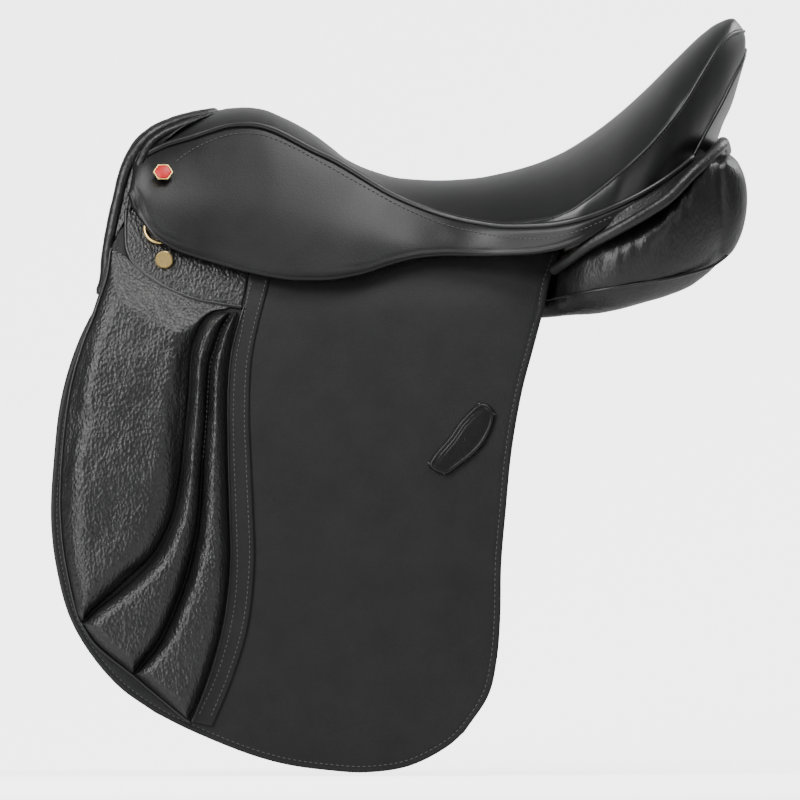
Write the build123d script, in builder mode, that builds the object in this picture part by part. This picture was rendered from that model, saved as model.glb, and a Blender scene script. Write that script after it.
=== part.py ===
from build123d import *
from math import cos, radians, sin
import os

# English dressage saddle, black leather, 17.5 inch seat, in millimetres.
# +X runs from the pommel to the cantle, +Y is the rider's right, +Z is up.
# The origin is on the centre plane, at about the deepest point of the seat.
# Pieces are either lofted through YZ sections along X, or cut to an XZ outline from
# a YZ band of leather, so neighbouring layers share the same tables.

os.makedirs("parts", exist_ok=True)

SIDES = (("left", -1.0), ("right", 1.0))

# Leather thicknesses
SEAT_LEATHER = 1.8
SKIRT_LEATHER = 3.6
FLAP_LEATHER = 4.5
COVER_LEATHER = 2.6
STRAP_LEATHER = 3.5
SWEAT_LEATHER = 3.0
KEEPER_LEATHER = 2.4

# Gaps between the flap and what lies on its outer face
FLAP_GAP = 0.3
KEEPER_GAP = 0.4

# Fold between the fixed head of the flap and the part that lifts
FLAP_HINGE_Z = -95.4
HINGE_HALF_GAP = 0.5
FLAP_TOP_Z = FLAP_HINGE_Z - HINGE_HALF_GAP
HEAD_LOW_Z = FLAP_HINGE_Z + HINGE_HALF_GAP

# Layers of the seat: depth of their upper and lower face under the seat's top face
FOAM_DEPTH = (3.0, 13.4)
WEBBING_DEPTH = (14.7, 15.9)
RAIL_DEPTH = (16.6, 27)
SPRING_DEPTH = (27.6, 28.9)

# Stirrup bar
BAR_Z = -54.0
BAR_FRONT = -120.0
BAR_REAR = -52.0
BAR_THICK = 4.8
BAR_TALL = 8.0
BAR_GAP = 3.8  # between the flap and the bar
BAR_ARM = 10.0  # length along X of the arm that carries the bar

# Nail through the point cover
NAIL_X, NAIL_Z = -201.9, -58.4
NAIL_HEAD_R = 6.5
NAIL_SHANK_R = 1.7
NAIL_HOLE_R = 1.8

CUT_REACH = 260  # reach along Y, each way, of every cut made from the XZ plane

# Flap: z, half width of its outer face
FLAP_Y = [
    (-446, 168.3), (-420, 167.6), (-380, 165), (-340, 162), (-300, 158), (-260, 153),
    (-220, 147), (-185, 140.4), (-150, 132.6), (-120, 125), (-95, 118), (-72, 108.2),
    (-50, 98), (-35, 91.2), (-20, 84), (0, 74)]

# Seat: x, height of the centre line
SEAT_Z = [
    (-216, 40), (-205, 44), (-192, 46), (-180, 48.5), (-168, 51), (-156, 53), (-141, 54.1),
    (-130, 53), (-112, 46), (-101, 40.4), (-90, 33.5), (-78, 25), (-65, 15.1), (-46, 6.6),
    (-25, 1.2), (3, 0), (29, 1.2), (50, 5.1), (71, 10.8), (93, 19.4), (114, 32.2),
    (136, 48.3), (157, 67.5), (178, 88.9), (200, 109.2), (210, 116.7), (221, 119.9),
    (227.5, 117.7), (232, 108)]
# Welt between seat and skirt: x, half width; then x, height
WELT_Y = [
    (-217, 66), (-200, 61), (-181, 60), (-160, 60), (-140, 61), (-120, 63), (-100, 66),
    (-75, 71), (-50, 77), (-25, 84), (0, 92), (30, 105), (60, 121), (90, 135), (110, 141),
    (130, 142), (150, 136), (170, 121), (185, 99), (192, 86)]
WELT_Z = [
    (-216.4, 18.6), (-201.6, 26.1), (-181, 32.4), (-162.8, 38.7), (-151.3, 41.7),
    (-137.6, 42.1), (-123.9, 39.3), (-106.8, 31.3), (-89.6, 22.1), (-78.2, 17.1),
    (-56.8, 4.5), (-35.5, -8.4), (-14.2, -18), (7.3, -25.5), (28.7, -30.4), (54.3, -33.5),
    (82.1, -32.6), (107.8, -28.1), (135.6, -18), (157, -7.4), (178.4, 6.6), (191.6, 17.7)]
# Crease round the rear of the seat's top face: x, height; then x, half width
CREASE_Z = [
    (99, -22.4), (114, -12.7), (136, 4.5), (157, 23.7), (174, 42.9), (187, 60),
    (196.5, 76), (211, 100), (222, 110), (229, 104)]
CREASE_Y = [
    (99, 136.5), (112, 139), (124, 140), (136, 138), (148, 133.5), (160, 125.5),
    (170, 117), (180, 106), (187, 97), (196.5, 83), (205, 69), (211, 58), (217, 46),
    (222, 34), (228, 17), (232, 8)]
CREASE_START = CREASE_Y[0][0]
WELT_INSET = 2.8  # from the welt in to the edge of the top face
WELT_DROP = 0.6  # from the edge of the top face down to the welt

# Section planes along X for everything under the seat
STATIONS = [-210, -199, -186, -174, -163, -152, -130, -101, -65, -25, 29, 71, 99, 136,
            174, 197, 211, 222, 228]


def mix(a, b, t):
    return a + (b - a) * t


def steps(a, b, count):
    return [mix(a, b, i / (count - 1)) for i in range(count)]


def at(table, position, column=1):
    """Straight-line reading of one column of a table, held level past its ends."""
    if position <= table[0][0]:
        return table[0][column]
    for before, after in zip(table, table[1:]):
        if position <= after[0]:
            rise = after[column] - before[column]
            return before[column] + rise * (position - before[0]) / (after[0] - before[0])
    return table[-1][column]


def stations(first, last):
    return [x for x in STATIONS if first <= x <= last]


def edge_y(x):
    """Half width of the seat's top face: to the welt in front, the crease behind."""
    return at(WELT_Y, x) - WELT_INSET if x < CREASE_START else at(CREASE_Y, x)


def edge_z(x):
    """Height of the edge of the seat's top face."""
    return at(WELT_Z, x) + WELT_DROP if x < CREASE_START else at(CREASE_Z, x)


def seat_top(x, y):
    """Height of the seat's top face, for y from the centre plane outwards."""
    across = min(1.0, y / edge_y(x))
    return at(SEAT_Z, x) - (at(SEAT_Z, x) - edge_z(x)) * across ** 2.3


def layer(x, y_in, y_out, depths, count=5):
    """Half section of a layer that follows the seat's top face."""
    ys = steps(y_in, y_out, count)
    upper = [(y, seat_top(x, y) - depths[0]) for y in ys]
    lower = [(y, seat_top(x, y) - depths[1]) for y in reversed(ys)]
    return upper + lower


def flap_face(z):
    return at(FLAP_Y, z)


def band(face, inner, thickness, sign):
    """YZ outline of leather whose inner side stands off a face of (z, y) rows by inner."""
    outer_side = [(sign * (y + inner + thickness), z) for z, y in face]
    inner_side = [(sign * (y + inner), z) for z, y in reversed(face)]
    return outer_side + inner_side


def lofted(sections, mirrored=False, joined=None, base=Plane.YZ):
    """Ruled loft through (offset from base, outline) sections, plus a joined piece."""
    with BuildPart() as piece:
        for offset, outline in sections:
            with BuildSketch(base.offset(offset)):
                with BuildLine():
                    Polyline(*outline, close=True)
                make_face()
        loft(ruled=True)
        if mirrored:
            mirror(about=Plane.XZ)
        if joined:
            add(joined.part)
    return piece


def swept(points, radius):
    """Round cord along a spline."""
    with BuildPart() as piece:
        with BuildLine():
            path = Spline(*points)
        with BuildSketch(Plane(origin=path @ 0, z_dir=path % 0)):
            Circle(radius)
        sweep()
    return piece


def arch(outer, inner, x_front, length, side_outline=None):
    """Arch between two YZ half lines, mirrored and trimmed to an XZ outline."""
    with BuildPart() as piece:
        with BuildSketch(Plane.YZ.offset(x_front)):
            with BuildLine():
                Polyline(*outer, *reversed(inner), close=True)
            make_face()
            mirror(about=Plane.YZ)
        extrude(amount=length)
        if side_outline:
            with BuildSketch(Plane.XZ):
                with BuildLine():
                    Polyline(*side_outline, close=True)
                make_face()
            extrude(amount=CUT_REACH, both=True, mode=Mode.INTERSECT)
    return piece


def sheet(outline, inner, thickness, sign, face=FLAP_Y, smooth=False):
    """Band of leather cut to an XZ outline, which is a spline closed by a line if smooth."""
    with BuildPart() as piece:
        with BuildSketch(Plane.YZ.offset(-300)):
            with BuildLine():
                Polyline(*band(face, inner, thickness, sign), close=True)
            make_face()
        extrude(amount=420)
        with BuildSketch(Plane.XZ):
            with BuildLine():
                if smooth:
                    Spline(*outline)
                    Line(outline[-1], outline[0])
                else:
                    Polyline(*outline, close=True)
            make_face()
        extrude(amount=CUT_REACH, both=True, mode=Mode.INTERSECT)
    return piece


def save(piece, name):
    piece.part.label = name
    export_step(piece.part, "parts/" + name + ".step")


# ---------------------------------------------------------------------------
# Tree: beech laminate frame with a head arch, two side rails and a cantle
# ---------------------------------------------------------------------------
# Rails: x, half width of the inner edge; then x, greatest half width
RAIL_IN = [(-152, 0), (-130, 0), (-101, 25), (-65, 28), (71, 30), (99, 26), (136, 0), (228, 0)]
RAIL_LIMIT = [(71, 92), (124, 120)]
RAIL_INSET = 13

# Insets of the arch and its lower plate from the flap's outer face, down the legs
HEAD_INSETS = (6, 12.3)
GULLET_INSET = 13.2
GULLET_THICK = 2.0


def rail_out(x):
    return min(edge_y(x) - RAIL_INSET, at(RAIL_LIMIT, x))


def leg(inset, z_low):
    """Lower part of an arch line, which follows the flap."""
    return [(flap_face(z) - inset, z) for z in (-20, -35, -50, -72, z_low)]


# Head arch: y, z lines above and below it, then its x, z side outline
HEAD_OUTER = [(0, 33.5), (16, 32.5), (32, 27.5), (46, 18.5), (58, 7.5), (67, -2)]
HEAD_INNER = [(0, 22.5), (13, 21.5), (26, 17), (38, 9), (48, -1), (57, -10)]
HEAD_SIDE = [
    (-166, 36), (-136, 36), (-128, 10), (-114, -20), (-48, -32), (-44, -40), (-44, -58),
    (-50, -63), (-150, -72), (-176, -86), (-190, -88.5), (-214, -88.5), (-222, -80),
    (-218, -60), (-200, -24), (-182, 8)]
head_arch = arch(HEAD_OUTER + leg(HEAD_INSETS[0], -88), HEAD_INNER + leg(HEAD_INSETS[1], -88),
                 -240, 220, HEAD_SIDE)

rails = [(x, layer(x, at(RAIL_IN, x), rail_out(x), RAIL_DEPTH)) for x in stations(-152, 197)]
save(lofted(rails, mirrored=True, joined=head_arch), "wooden_tree")

# Steel plate above the head arch: y, z lines of its upper and lower face
HEAD_PLATE_UPPER = [(0, 36), (17, 35), (33.5, 29.8)]
HEAD_PLATE_LOWER = [(0, 34.2), (16.5, 33.2), (32.6, 28)]
save(arch(HEAD_PLATE_UPPER, HEAD_PLATE_LOWER, -165, 12.4), "steel_head_plate")

# Steel plate below the head arch: y, z lines, then its x, z side outline
GULLET_OUTER = [(0, 22), (12.8, 21), (25.6, 16.5), (37.6, 8.5), (47.6, -1.4), (56.2, -10.6)]
GULLET_INNER = [(0, 19.8), (12, 18.9), (24.2, 14.6), (36, 6.6), (46, -3.2), (54.6, -12.4)]
GULLET_SIDE = [(-160, 34), (-142, 34), (-150, -10), (-176, -60), (-190, -84), (-210, -84),
               (-205, -50), (-190, -24), (-176, 8)]
save(arch(GULLET_OUTER + leg(GULLET_INSET, -84),
          GULLET_INNER + leg(GULLET_INSET + GULLET_THICK, -84), -240, 120, GULLET_SIDE),
     "steel_gullet_plate")

# Spring steel strips just under the middle of each rail
SPRING_WIDTH = 12
springs = []
for x in stations(-101, 99):
    spring_in = mix(at(RAIL_IN, x), rail_out(x), 0.5)
    outline = layer(x, spring_in, spring_in + SPRING_WIDTH, SPRING_DEPTH, count=2)
    springs.append((x, outline))
save(lofted(springs, mirrored=True), "tree_springs")

# ---------------------------------------------------------------------------
# Seat: canvas web, foam, leather top, side panels, cantle facing
# ---------------------------------------------------------------------------
webbing = [(x, layer(x, 0, min(60, rail_out(x)), WEBBING_DEPTH)) for x in stations(-130, 197)]
save(lofted(webbing, mirrored=True), "seat_webbing")

FOAM_INSET = 6
foam = [(x, layer(x, 0, edge_y(x) - FOAM_INSET, FOAM_DEPTH)) for x in stations(-152, 211)]
save(lofted(foam, mirrored=True), "seat_foam")

# Leather top. It is open in the middle at the front, and thickens into the cantle's rim.
# x, half width of the opening; then x, thickness
SEAT_FRONT_Y = [(-210, 60.3), (-199, 55), (-186, 47), (-174, 37), (-163, 24), (-152, 0)]
COVER_THICK = [(211, SEAT_LEATHER), (222, 7), (228, 13)]
RIM_X, RIM_Z = 232, 104.2
RIM_HALF_WIDTH, RIM_HALF_HEIGHT = 9, 5.8
RIM_ANGLES = (0, 20, 41, 62, 84, 96, 118, 139, 160, 180)  # one for each point of a layer

cover = [(x, layer(x, at(SEAT_FRONT_Y, x), edge_y(x), (0, at(COVER_THICK, x))))
         for x in STATIONS]
rim = [(RIM_HALF_WIDTH * sin(radians(a)), RIM_Z + RIM_HALF_HEIGHT * cos(radians(a)))
       for a in RIM_ANGLES]
save(lofted(cover + [(RIM_X, rim)], mirrored=True), "seat_cover")

# Side panels, from the crease down to the welt and then to the cantle seam
SIDE_X = [99, 114, 136, 157, 174, 187, 192, 197, 202, 207, 212.5, 217, 221, 226]
SIDE_DROP = [(217, 4.5), (226, 16.5)]  # x, drop of the upper edge below the crease
SIDE_LEAST_HEIGHT = 1.5
WELT_END = WELT_Y[-1][0]
# Cantle seam: x, z, half width
CANTLE_SEAM = [(192, 18.3, 86), (202, 36.5, 72), (212.5, 55.7, 57), (221, 73, 40),
               (229.5, 90, 15)]


def seat_side_section(x, sign):
    if x <= WELT_END:
        y_low, z_low = at(WELT_Y, x), at(WELT_Z, x) + 2.9
    else:
        y_low, z_low = at(CANTLE_SEAM, x, 2), at(CANTLE_SEAM, x) + 2.5
    y_top, z_top = edge_y(x), edge_z(x) - at(SIDE_DROP, x)
    z_low = min(z_low, z_top - SIDE_LEAST_HEIGHT)
    return [(sign * y_top, z_top), (sign * y_low, z_low),
            (sign * (y_low - SEAT_LEATHER), z_low), (sign * (y_top - SEAT_LEATHER), z_top)]


for side, sign in SIDES:
    save(lofted([(x, seat_side_section(x, sign)) for x in SIDE_X]), side + "_seat_side")

# Back of the cantle, in level sections: z, x at the sides, x at the back, half width
CANTLE = [(22, 194.3, 206.4, 79), (30.5, 198.7, 209.3, 72), (40.8, 204.3, 212.5, 64),
          (55.7, 212.5, 219, 53), (75, 222, 225.4, 34), (90, 229.3, 230.7, 12)]
facing = []
for z, x_side, x_back, half_width in CANTLE:
    outer = [(x_back - (x_back - x_side) * t * t, half_width * t) for t in steps(-1, 1, 9)]
    facing.append((z, outer + [(x - SEAT_LEATHER, y) for x, y in reversed(outer)]))
save(lofted(facing, base=Plane.XY), "cantle_facing")

# Piped welt between the seat and the skirt
WELT_R = 1.85
WELT_OUTSET = 0.2
WELT_X = [-210, -199, -181, -162.8, -137.6, -120, -106.8, -78.2, -56.8, -35.5, -14.2, 7.3,
          28.7, 54.3, 82.1, 107.8, 135.6, 157, 174, 185]
for side, sign in SIDES:
    points = [(x, sign * (at(WELT_Y, x) + WELT_OUTSET), at(WELT_Z, x)) for x in WELT_X]
    save(swept(points, WELT_R), side + "_seat_welt")

# The two padded rolls that finish the front of the arch: x, y, z of the right half
ARCH_ROLL = [
    (-165, 0, 49.5), (-176, 19, 47.5), (-187, 31, 45), (-198.5, 42, 41), (-210, 52, 35.5),
    (-221.5, 62, 25), (-230, 71, 9), (-235.8, 78, -13), (-240.5, 83.5, -34),
    (-244, 88, -54), (-246, 93.5, -75)]
POMMEL_ROLL = [
    (-157, 0, 48.5), (-168.5, 22, 46.5), (-179, 35, 43), (-191, 46, 39), (-203.5, 55, 34),
    (-213, 62.5, 27), (-219, 68.8, 16), (-222.5, 74, 4), (-224.8, 78, -10),
    (-226, 81.5, -20)]
for name, points, radius in (("arch_roll", ARCH_ROLL, 3.8), ("pommel_roll", POMMEL_ROLL, 2.5)):
    left_half = [(x, -y, z) for x, y, z in reversed(points)]
    save(swept(left_half + points[1:], radius), name)

# Leather roof of the channel between the panels: x, greatest height
LINING_Z = [(-152, 10), (-130, 10), (99, 3), (136, 9), (197, 15)]
LINING_HALF_WIDTH = 25
LINING_DEPTH = 31  # least depth under the seat's top face
lining = []
for x in stations(-152, 197):
    z = min(seat_top(x, LINING_HALF_WIDTH) - LINING_DEPTH, at(LINING_Z, x))
    lining.append((x, [(0, z + 1), (12, z + 0.7), (LINING_HALF_WIDTH, z),
                       (LINING_HALF_WIDTH, z - 1.6), (12, z - 0.9), (0, z - 0.6)]))
save(lofted(lining, mirrored=True), "gullet_lining")

# ---------------------------------------------------------------------------
# Panels: wool-flocked cushions on each side of the spine
# ---------------------------------------------------------------------------
# x, then y_in, y_out, y_low, then the heights top_in, top_out, bottom_in, bottom_low
PANEL = [
    (-249, 70, 95.5, 87, -56, -92, -76, -110), (-240, 52, 97.5, 88, -24, -90, -57, -117),
    (-225, 39, 97.5, 87, -3, -88, -38, -120), (-200, 30, 97, 86, 4, -88, -30, -120),
    (-170, 27, 97, 85, 8, -86, -26, -118), (-141, 27.5, 97, 85, 4, -88, -30, -118),
    (-101, 29, 97, 86, 2, -88, -38, -114), (-60, 31, 97, 86, -22, -88, -52, -111),
    (-20, 33, 97, 86, -34, -88, -62, -108), (29, 33, 97, 86, -37, -88, -68, -106),
    (60, 33, 97.5, 87, -33, -88, -70, -104), (80, 33, 102, 90, -27, -86, -70, -103),
    (92, 33, 108, 93, -20, -80, -71, -102), (99, 33, 122, 98, -15, -68, -72, -101),
    (114, 33, 138, 112, -3, -55, -71, -99.5), (136, 33, 148, 119, 3, -43, -68, -95),
    (157, 33, 149, 120, 6, -31, -64, -89), (174, 33, 143, 115, 8, -19, -59, -84),
    (190, 34, 131, 106, 10, -4, -54, -78), (207, 37, 115, 95, 11, 8, -45, -67),
    (220, 43, 96, 84, 8, 10, -33, -55), (229, 52, 82, 74, -2, -1, -24, -41),
    (234, 62, 74, 70, -10, -9, -18, -25)]
# Cord along the rear edge of the panel: x, y, z
PANEL_ROLL = [(99, 129, -58), (114, 140, -47.5), (136, 149, -35.5), (157, 150, -23.5),
              (174, 143, -12), (190, 131, 4.5), (203, 112, 16.5), (212, 88, 22)]
PANEL_ROLL_R = 3.4


def panel_section(row, sign):
    """Rounded outline: down the inner side, under the belly, up and back over the top."""
    y_in, y_out, y_low, top_in, top_out, bottom_in, bottom_low = row[1:]
    points = [
        (y_in + 3, top_in),
        (y_in, mix(top_in, bottom_in, 0.3)),
        (y_in + 1, mix(top_in, bottom_in, 0.8)),
        (y_in + 5, bottom_in),
        (mix(y_in, y_low, 0.5), mix(bottom_in, bottom_low, 0.62)),
        (y_low, bottom_low),
        (mix(y_low, y_out, 0.7), mix(bottom_low, top_out, 0.18)),
        (y_out, mix(bottom_low, top_out, 0.5)),
        (y_out - 3, top_out),
        (mix(y_in, y_out, 0.68), mix(top_in, top_out, 0.62)),
        (mix(y_in, y_out, 0.35), mix(top_in, top_out, 0.28))]
    return [(sign * y, z) for y, z in points]


for side, sign in SIDES:
    save(lofted([(row[0], panel_section(row, sign)) for row in PANEL]), side + "_panel")
    save(swept([(x, sign * y, z) for x, y, z in PANEL_ROLL], PANEL_ROLL_R),
         side + "_panel_roll")

# ---------------------------------------------------------------------------
# Skirts: stitched to the seat along the welt. The lobe below the fold lifts
# to uncover the stirrup bar; the strip above it stays put.
# ---------------------------------------------------------------------------
# x, y and z of the top edge, y and z at the fold, y and z of the hem
SKIRT = [
    (-225, 89, -2, 92, -8.3, 95, -14), (-221, 80, 9, 92.5, -9, 99, -26),
    (-215, 70.5, 15, 93, -10.2, 106, -35), (-206, 66.5, 21.2, 94, -11.9, 110, -43.6),
    (-192, 64.5, 26.6, 95, -14.5, 111.5, -51), (-176, 63.4, 31.4, 96.4, -17.6, 111.5, -56.6),
    (-146, 64, 38, 99, -23.2, 117, -65.3), (-124, 66, 35.6, 101, -27.4, 120.5, -70.4),
    (-107, 68, 27.6, 102.5, -30.6, 122.5, -72.7), (-78, 73.5, 13.4, 105, -36, 123, -72.7),
    (-53, 79.5, -1.5, 107, -40.8, 120, -68.2), (-35, 84.5, -12.2, 108.6, -44.2, 117, -61.8),
    (-14, 91, -21.6, 110.4, -48.1, 114, -56), (7, 98, -28.9, 110, -44, 115, -54.4),
    (39, 113, -35.6, 117, -46, 119.5, -55.4), (71, 130, -36.6, 131, -46, 131.5, -54.4),
    (93, 140, -35.6, 140.4, -43.4, 140.6, -50.7),
    (114, 145.6, -29.2, 145.8, -36.2, 145.8, -42.6),
    (136, 144, -21.2, 144.3, -25.8, 144.3, -30.2),
    (157, 134.6, -10.8, 135, -13.8, 135.2, -16.6), (174, 120, 0.2, 120.4, -1.8, 120.6, -3.6),
    (185, 102.2, 8.4, 102.6, 7.2, 102.8, 6)]
# Fold line: x, z of its front and rear end
FOLD_FRONT, FOLD_REAR = (-225.7, -8.2), (3.7, -51.4)
BULGE = 0.25  # of the leather between its top edge, fold and hem


def skirt_section(row, sign):
    y_top, z_top, y_fold, z_fold, y_hem, z_hem = row[1:]
    outer = [
        (y_top, z_top),
        (mix(y_top, y_fold, 0.6) + BULGE, mix(z_top, z_fold, 0.46)),
        (y_fold, z_fold),
        (mix(y_fold, y_hem, 0.66) + BULGE, mix(z_fold, z_hem, 0.48)),
        (y_hem, z_hem)]
    inner = [(y - SKIRT_LEATHER, z) for y, z in reversed(outer)]
    return [(sign * y, z) for y, z in outer + inner]


fold_run = FOLD_REAR[0] - FOLD_FRONT[0]
fold_rise = FOLD_REAR[1] - FOLD_FRONT[1]
skirt_fold = Plane(origin=(FOLD_FRONT[0], 0, FOLD_FRONT[1]), x_dir=(fold_run, 0, fold_rise),
                   z_dir=(-fold_rise, 0, fold_run))

for side, sign in SIDES:
    for name, keep, offset in (("skirt_top", Keep.TOP, 0.4), ("skirt", Keep.BOTTOM, -1.6)):
        with BuildPart() as skirt:
            for row in SKIRT:
                with BuildSketch(Plane.YZ.offset(row[0])):
                    with BuildLine():
                        Polyline(*skirt_section(row, sign), close=True)
                    make_face()
            loft(ruled=True)
            split(bisect_by=skirt_fold.offset(offset), keep=keep)
        save(skirt, side + "_" + name)

# ---------------------------------------------------------------------------
# Flaps, with what lies on and under them. All outlines are x, z.
# ---------------------------------------------------------------------------
# Part of the flap that lifts
FLAP_EDGE = [
    (-252.9, FLAP_TOP_Z), (-258.5, -105.8), (-266.7, -123.7), (-274.9, -148.3),
    (-280.5, -174.3), (-284.6, -215.3), (-286.1, -237.7), (-286.1, -255.5),
    (-282.9, -283.8), (-272.9, -322.6), (-257.2, -350.9), (-234.7, -376.7),
    (-208.7, -395.2), (-183.3, -408), (-137.5, -426.6), (-109, -434.3), (-78.2, -438.4),
    (-52.4, -439.9), (-19.4, -435.1), (8.8, -420.9), (27.6, -403.8), (40.1, -381.9),
    (46.2, -355.2), (48.7, -325.4), (49.5, -284.6), (52.7, -246.2), (57.4, -198.9),
    (65.2, -155), (73, -125.5), (79.3, -102), (81.1, FLAP_TOP_Z)]
# Fixed head of the flap
HEAD_EDGE = [
    (-252.6, HEAD_LOW_Z), (-249.6, -81.2), (-245.8, -62.6), (-239.9, -46), (-230, -30),
    (-175.1, -20), (-100.6, -26.1), (-26.1, -41), (33.5, -48.4), (91.6, -51.4),
    (92.2, -56.2), (85.6, -73.8), (81.5, HEAD_LOW_Z)]
POINT_COVER = [
    (-230.2, -22), (-230.2, -35), (-229.5, -50.3), (-225.4, -59.9), (-211.6, -72.3),
    (-197.8, -80.5), (-177.3, -88.2), (-163.4, -90.9), (-144.1, -93.7), (-140.1, -77.5),
    (-137.8, -60.3), (-150, -44), (-190, -30)]
KNEE_PAD = [
    (-253.3, -101.5), (-260, -114.7), (-270.9, -150.9), (-276.4, -187.7), (-279.2, -229.5),
    (-278.6, -256.3), (-275.6, -282.4), (-266, -321.1), (-263.2, -326.5), (-252.5, -315),
    (-231.2, -298), (-209.7, -277), (-196.2, -249.5), (-190.2, -222.8), (-186.7, -187.7),
    (-183.7, -160.2), (-181.8, -133), (-178.5, -117.7), (-171.8, -101.5)]
FRONT_ROLL = [
    (-169.3, -101.5), (-176, -117.7), (-179.6, -133), (-181.6, -160.5), (-184.4, -188),
    (-188.1, -222.8), (-193.8, -250.8), (-207.7, -279.3), (-229.2, -301.2),
    (-250.6, -318.6), (-261.8, -330.2), (-252.3, -343.2), (-225, -366.3), (-206.9, -343.2),
    (-195.5, -319.2), (-184.2, -286.5), (-177.2, -251.3), (-174.3, -208.6),
    (-171.5, -174.3), (-169.6, -139.8), (-164.6, -116.8), (-157.8, -101.5)]
REAR_ROLL = [
    (-155.4, -101.5), (-162.3, -116.2), (-167.2, -139.8), (-169.1, -174.3),
    (-171.9, -208.6), (-174.8, -251.3), (-181.9, -287), (-193.3, -320), (-204.8, -344.6),
    (-223.2, -367.8), (-205.4, -383), (-184, -400.8), (-177, -386.2), (-167.2, -358),
    (-158.6, -322.4), (-154.4, -279.7), (-155, -252.6), (-156.3, -201.9), (-156.3, -153.5),
    (-153.6, -125.9), (-147.4, -101.5)]
FLAP_STRIP = [
    (-144.6, -101.5), (-151.2, -125.9), (-153.7, -153.5), (-153.7, -201.9),
    (-152.4, -252.6), (-151.8, -279.7), (-156, -322.6), (-164.6, -358.1), (-174.5, -386.7),
    (-181.5, -401.5), (-166, -405), (-154.6, -378), (-143.2, -337), (-138.2, -284),
    (-139.3, -243.2), (-140.8, -207.9), (-142, -174.3), (-140.1, -133), (-134, -101.5)]
KEEPER = [
    (35.2, -164.5), (44, -171), (42.5, -183), (33.5, -198.5), (17.9, -211.9),
    (7.5, -218.2), (-4.5, -212), (-2.5, -205.5), (10.4, -190), (19.4, -177.3)]
SWEAT_EDGE = [
    (-236, -98.6), (-246, -125), (-256, -160), (-264, -205), (-267, -245), (-262, -285),
    (-248, -322), (-222, -350), (-180, -374), (-120, -394), (-60, -402), (-20, -399),
    (6, -384), (22, -358), (29, -320), (31, -270), (35, -220), (43, -165), (50, -125),
    (54, -98.6)]
# Sweat flap: z, half width of its outer face
SWEAT_Y = [(-406, 130), (-300, 130), (-220, 126), (-150, 114), (-120, 107), (-98, 101.5)]
# Pads on the flap, from front to rear: name, outline, thickness
PADS = (("knee_pad", KNEE_PAD, 15.0), ("front_roll", FRONT_ROLL, 19.0),
        ("rear_roll", REAR_ROLL, 17.0), ("flap_strip", FLAP_STRIP, 4.0))
SLOT_PLAY = 2.0  # by which the slot in the flap head is larger than the bar's arm


def pierced(blank, bar_slot):
    """Sheet with a hole for the cover nail and, if asked, a slot for the stirrup bar."""
    with BuildPart() as piece:
        add(blank.part)
        with BuildSketch(Plane.XZ):
            if bar_slot:
                with Locations((BAR_FRONT + BAR_ARM / 2, BAR_Z)):
                    Rectangle(BAR_ARM + SLOT_PLAY, BAR_TALL + SLOT_PLAY)
            with Locations((NAIL_X, NAIL_Z)):
                Circle(NAIL_HOLE_R)
        extrude(amount=CUT_REACH, both=True, mode=Mode.SUBTRACT)
    return piece


for side, sign in SIDES:
    save(sheet(FLAP_EDGE, -FLAP_LEATHER, FLAP_LEATHER, sign, smooth=True), side + "_flap")
    head_blank = sheet(HEAD_EDGE, -FLAP_LEATHER, FLAP_LEATHER, sign)
    save(pierced(head_blank, bar_slot=True), side + "_flap_head")
    cover_blank = sheet(POINT_COVER, FLAP_GAP, COVER_LEATHER, sign)
    save(pierced(cover_blank, bar_slot=False), side + "_point_cover")
    for name, outline, thickness in PADS:
        save(sheet(outline, FLAP_GAP, thickness, sign), side + "_" + name)
    save(sheet(KEEPER, KEEPER_GAP, KEEPER_LEATHER, sign), side + "_keeper")
    save(sheet(SWEAT_EDGE, -SWEAT_LEATHER, SWEAT_LEATHER, sign, face=SWEAT_Y, smooth=True),
         side + "_sweat_flap")

# ---------------------------------------------------------------------------
# Girth straps and the canvas webs that hang them from the tree
# ---------------------------------------------------------------------------
STRAP_X = {"front": -88.0, "rear": -4.0}
STRAP_WIDTH = 25.0
STRAP_TIP_R = 9
HOLE_R = 2.5
HOLE_PITCH = 25.4
HOLE_COUNT = 7
LOWEST_HOLE_Z = -396.0
# Strap: z, half width of its outer face
STRAP_Y = [(-414, 138), (-240, 138), (-200, 134), (-150, 125.3), (-120, 117.5),
           (-95, 110.3), (-78, 103)]
WEB_INSET = 15.2  # from the flap's outer face to the web's inner face
WEB_THICK = 2.0
WEB_Y = [(z, flap_face(z)) for z in (-104, -95, -72, -50, -47)]

for side, sign in SIDES:
    with BuildPart() as girth_webs:
        with BuildSketch(Plane.YZ.offset(-110)):
            with BuildLine():
                Polyline(*band(WEB_Y, -WEB_INSET, WEB_THICK, sign), close=True)
            make_face()
        extrude(amount=140)
        with BuildSketch(Plane.XZ):
            for x in STRAP_X.values():
                with Locations((x, -70)):
                    Rectangle(30, 68)
        extrude(amount=CUT_REACH, both=True, mode=Mode.INTERSECT)
    save(girth_webs, side + "_girth_webs")

    for end, x in STRAP_X.items():
        with BuildPart() as strap:
            with BuildSketch(Plane.YZ.offset(x - STRAP_WIDTH / 2)):
                with BuildLine():
                    Polyline(*band(STRAP_Y, -STRAP_LEATHER, STRAP_LEATHER, sign), close=True)
                make_face()
            extrude(amount=STRAP_WIDTH)
            with BuildSketch(Plane.XZ):
                for i in range(HOLE_COUNT):
                    with Locations((x, LOWEST_HOLE_Z + i * HOLE_PITCH)):
                        Circle(HOLE_R)
            extrude(amount=CUT_REACH, both=True, mode=Mode.SUBTRACT)
            tips = strap.edges().filter_by(Axis.Y).group_by(Axis.Z)[0]
            fillet(tips, STRAP_TIP_R)
        save(strap, side + "_" + end + "_strap")

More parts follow.
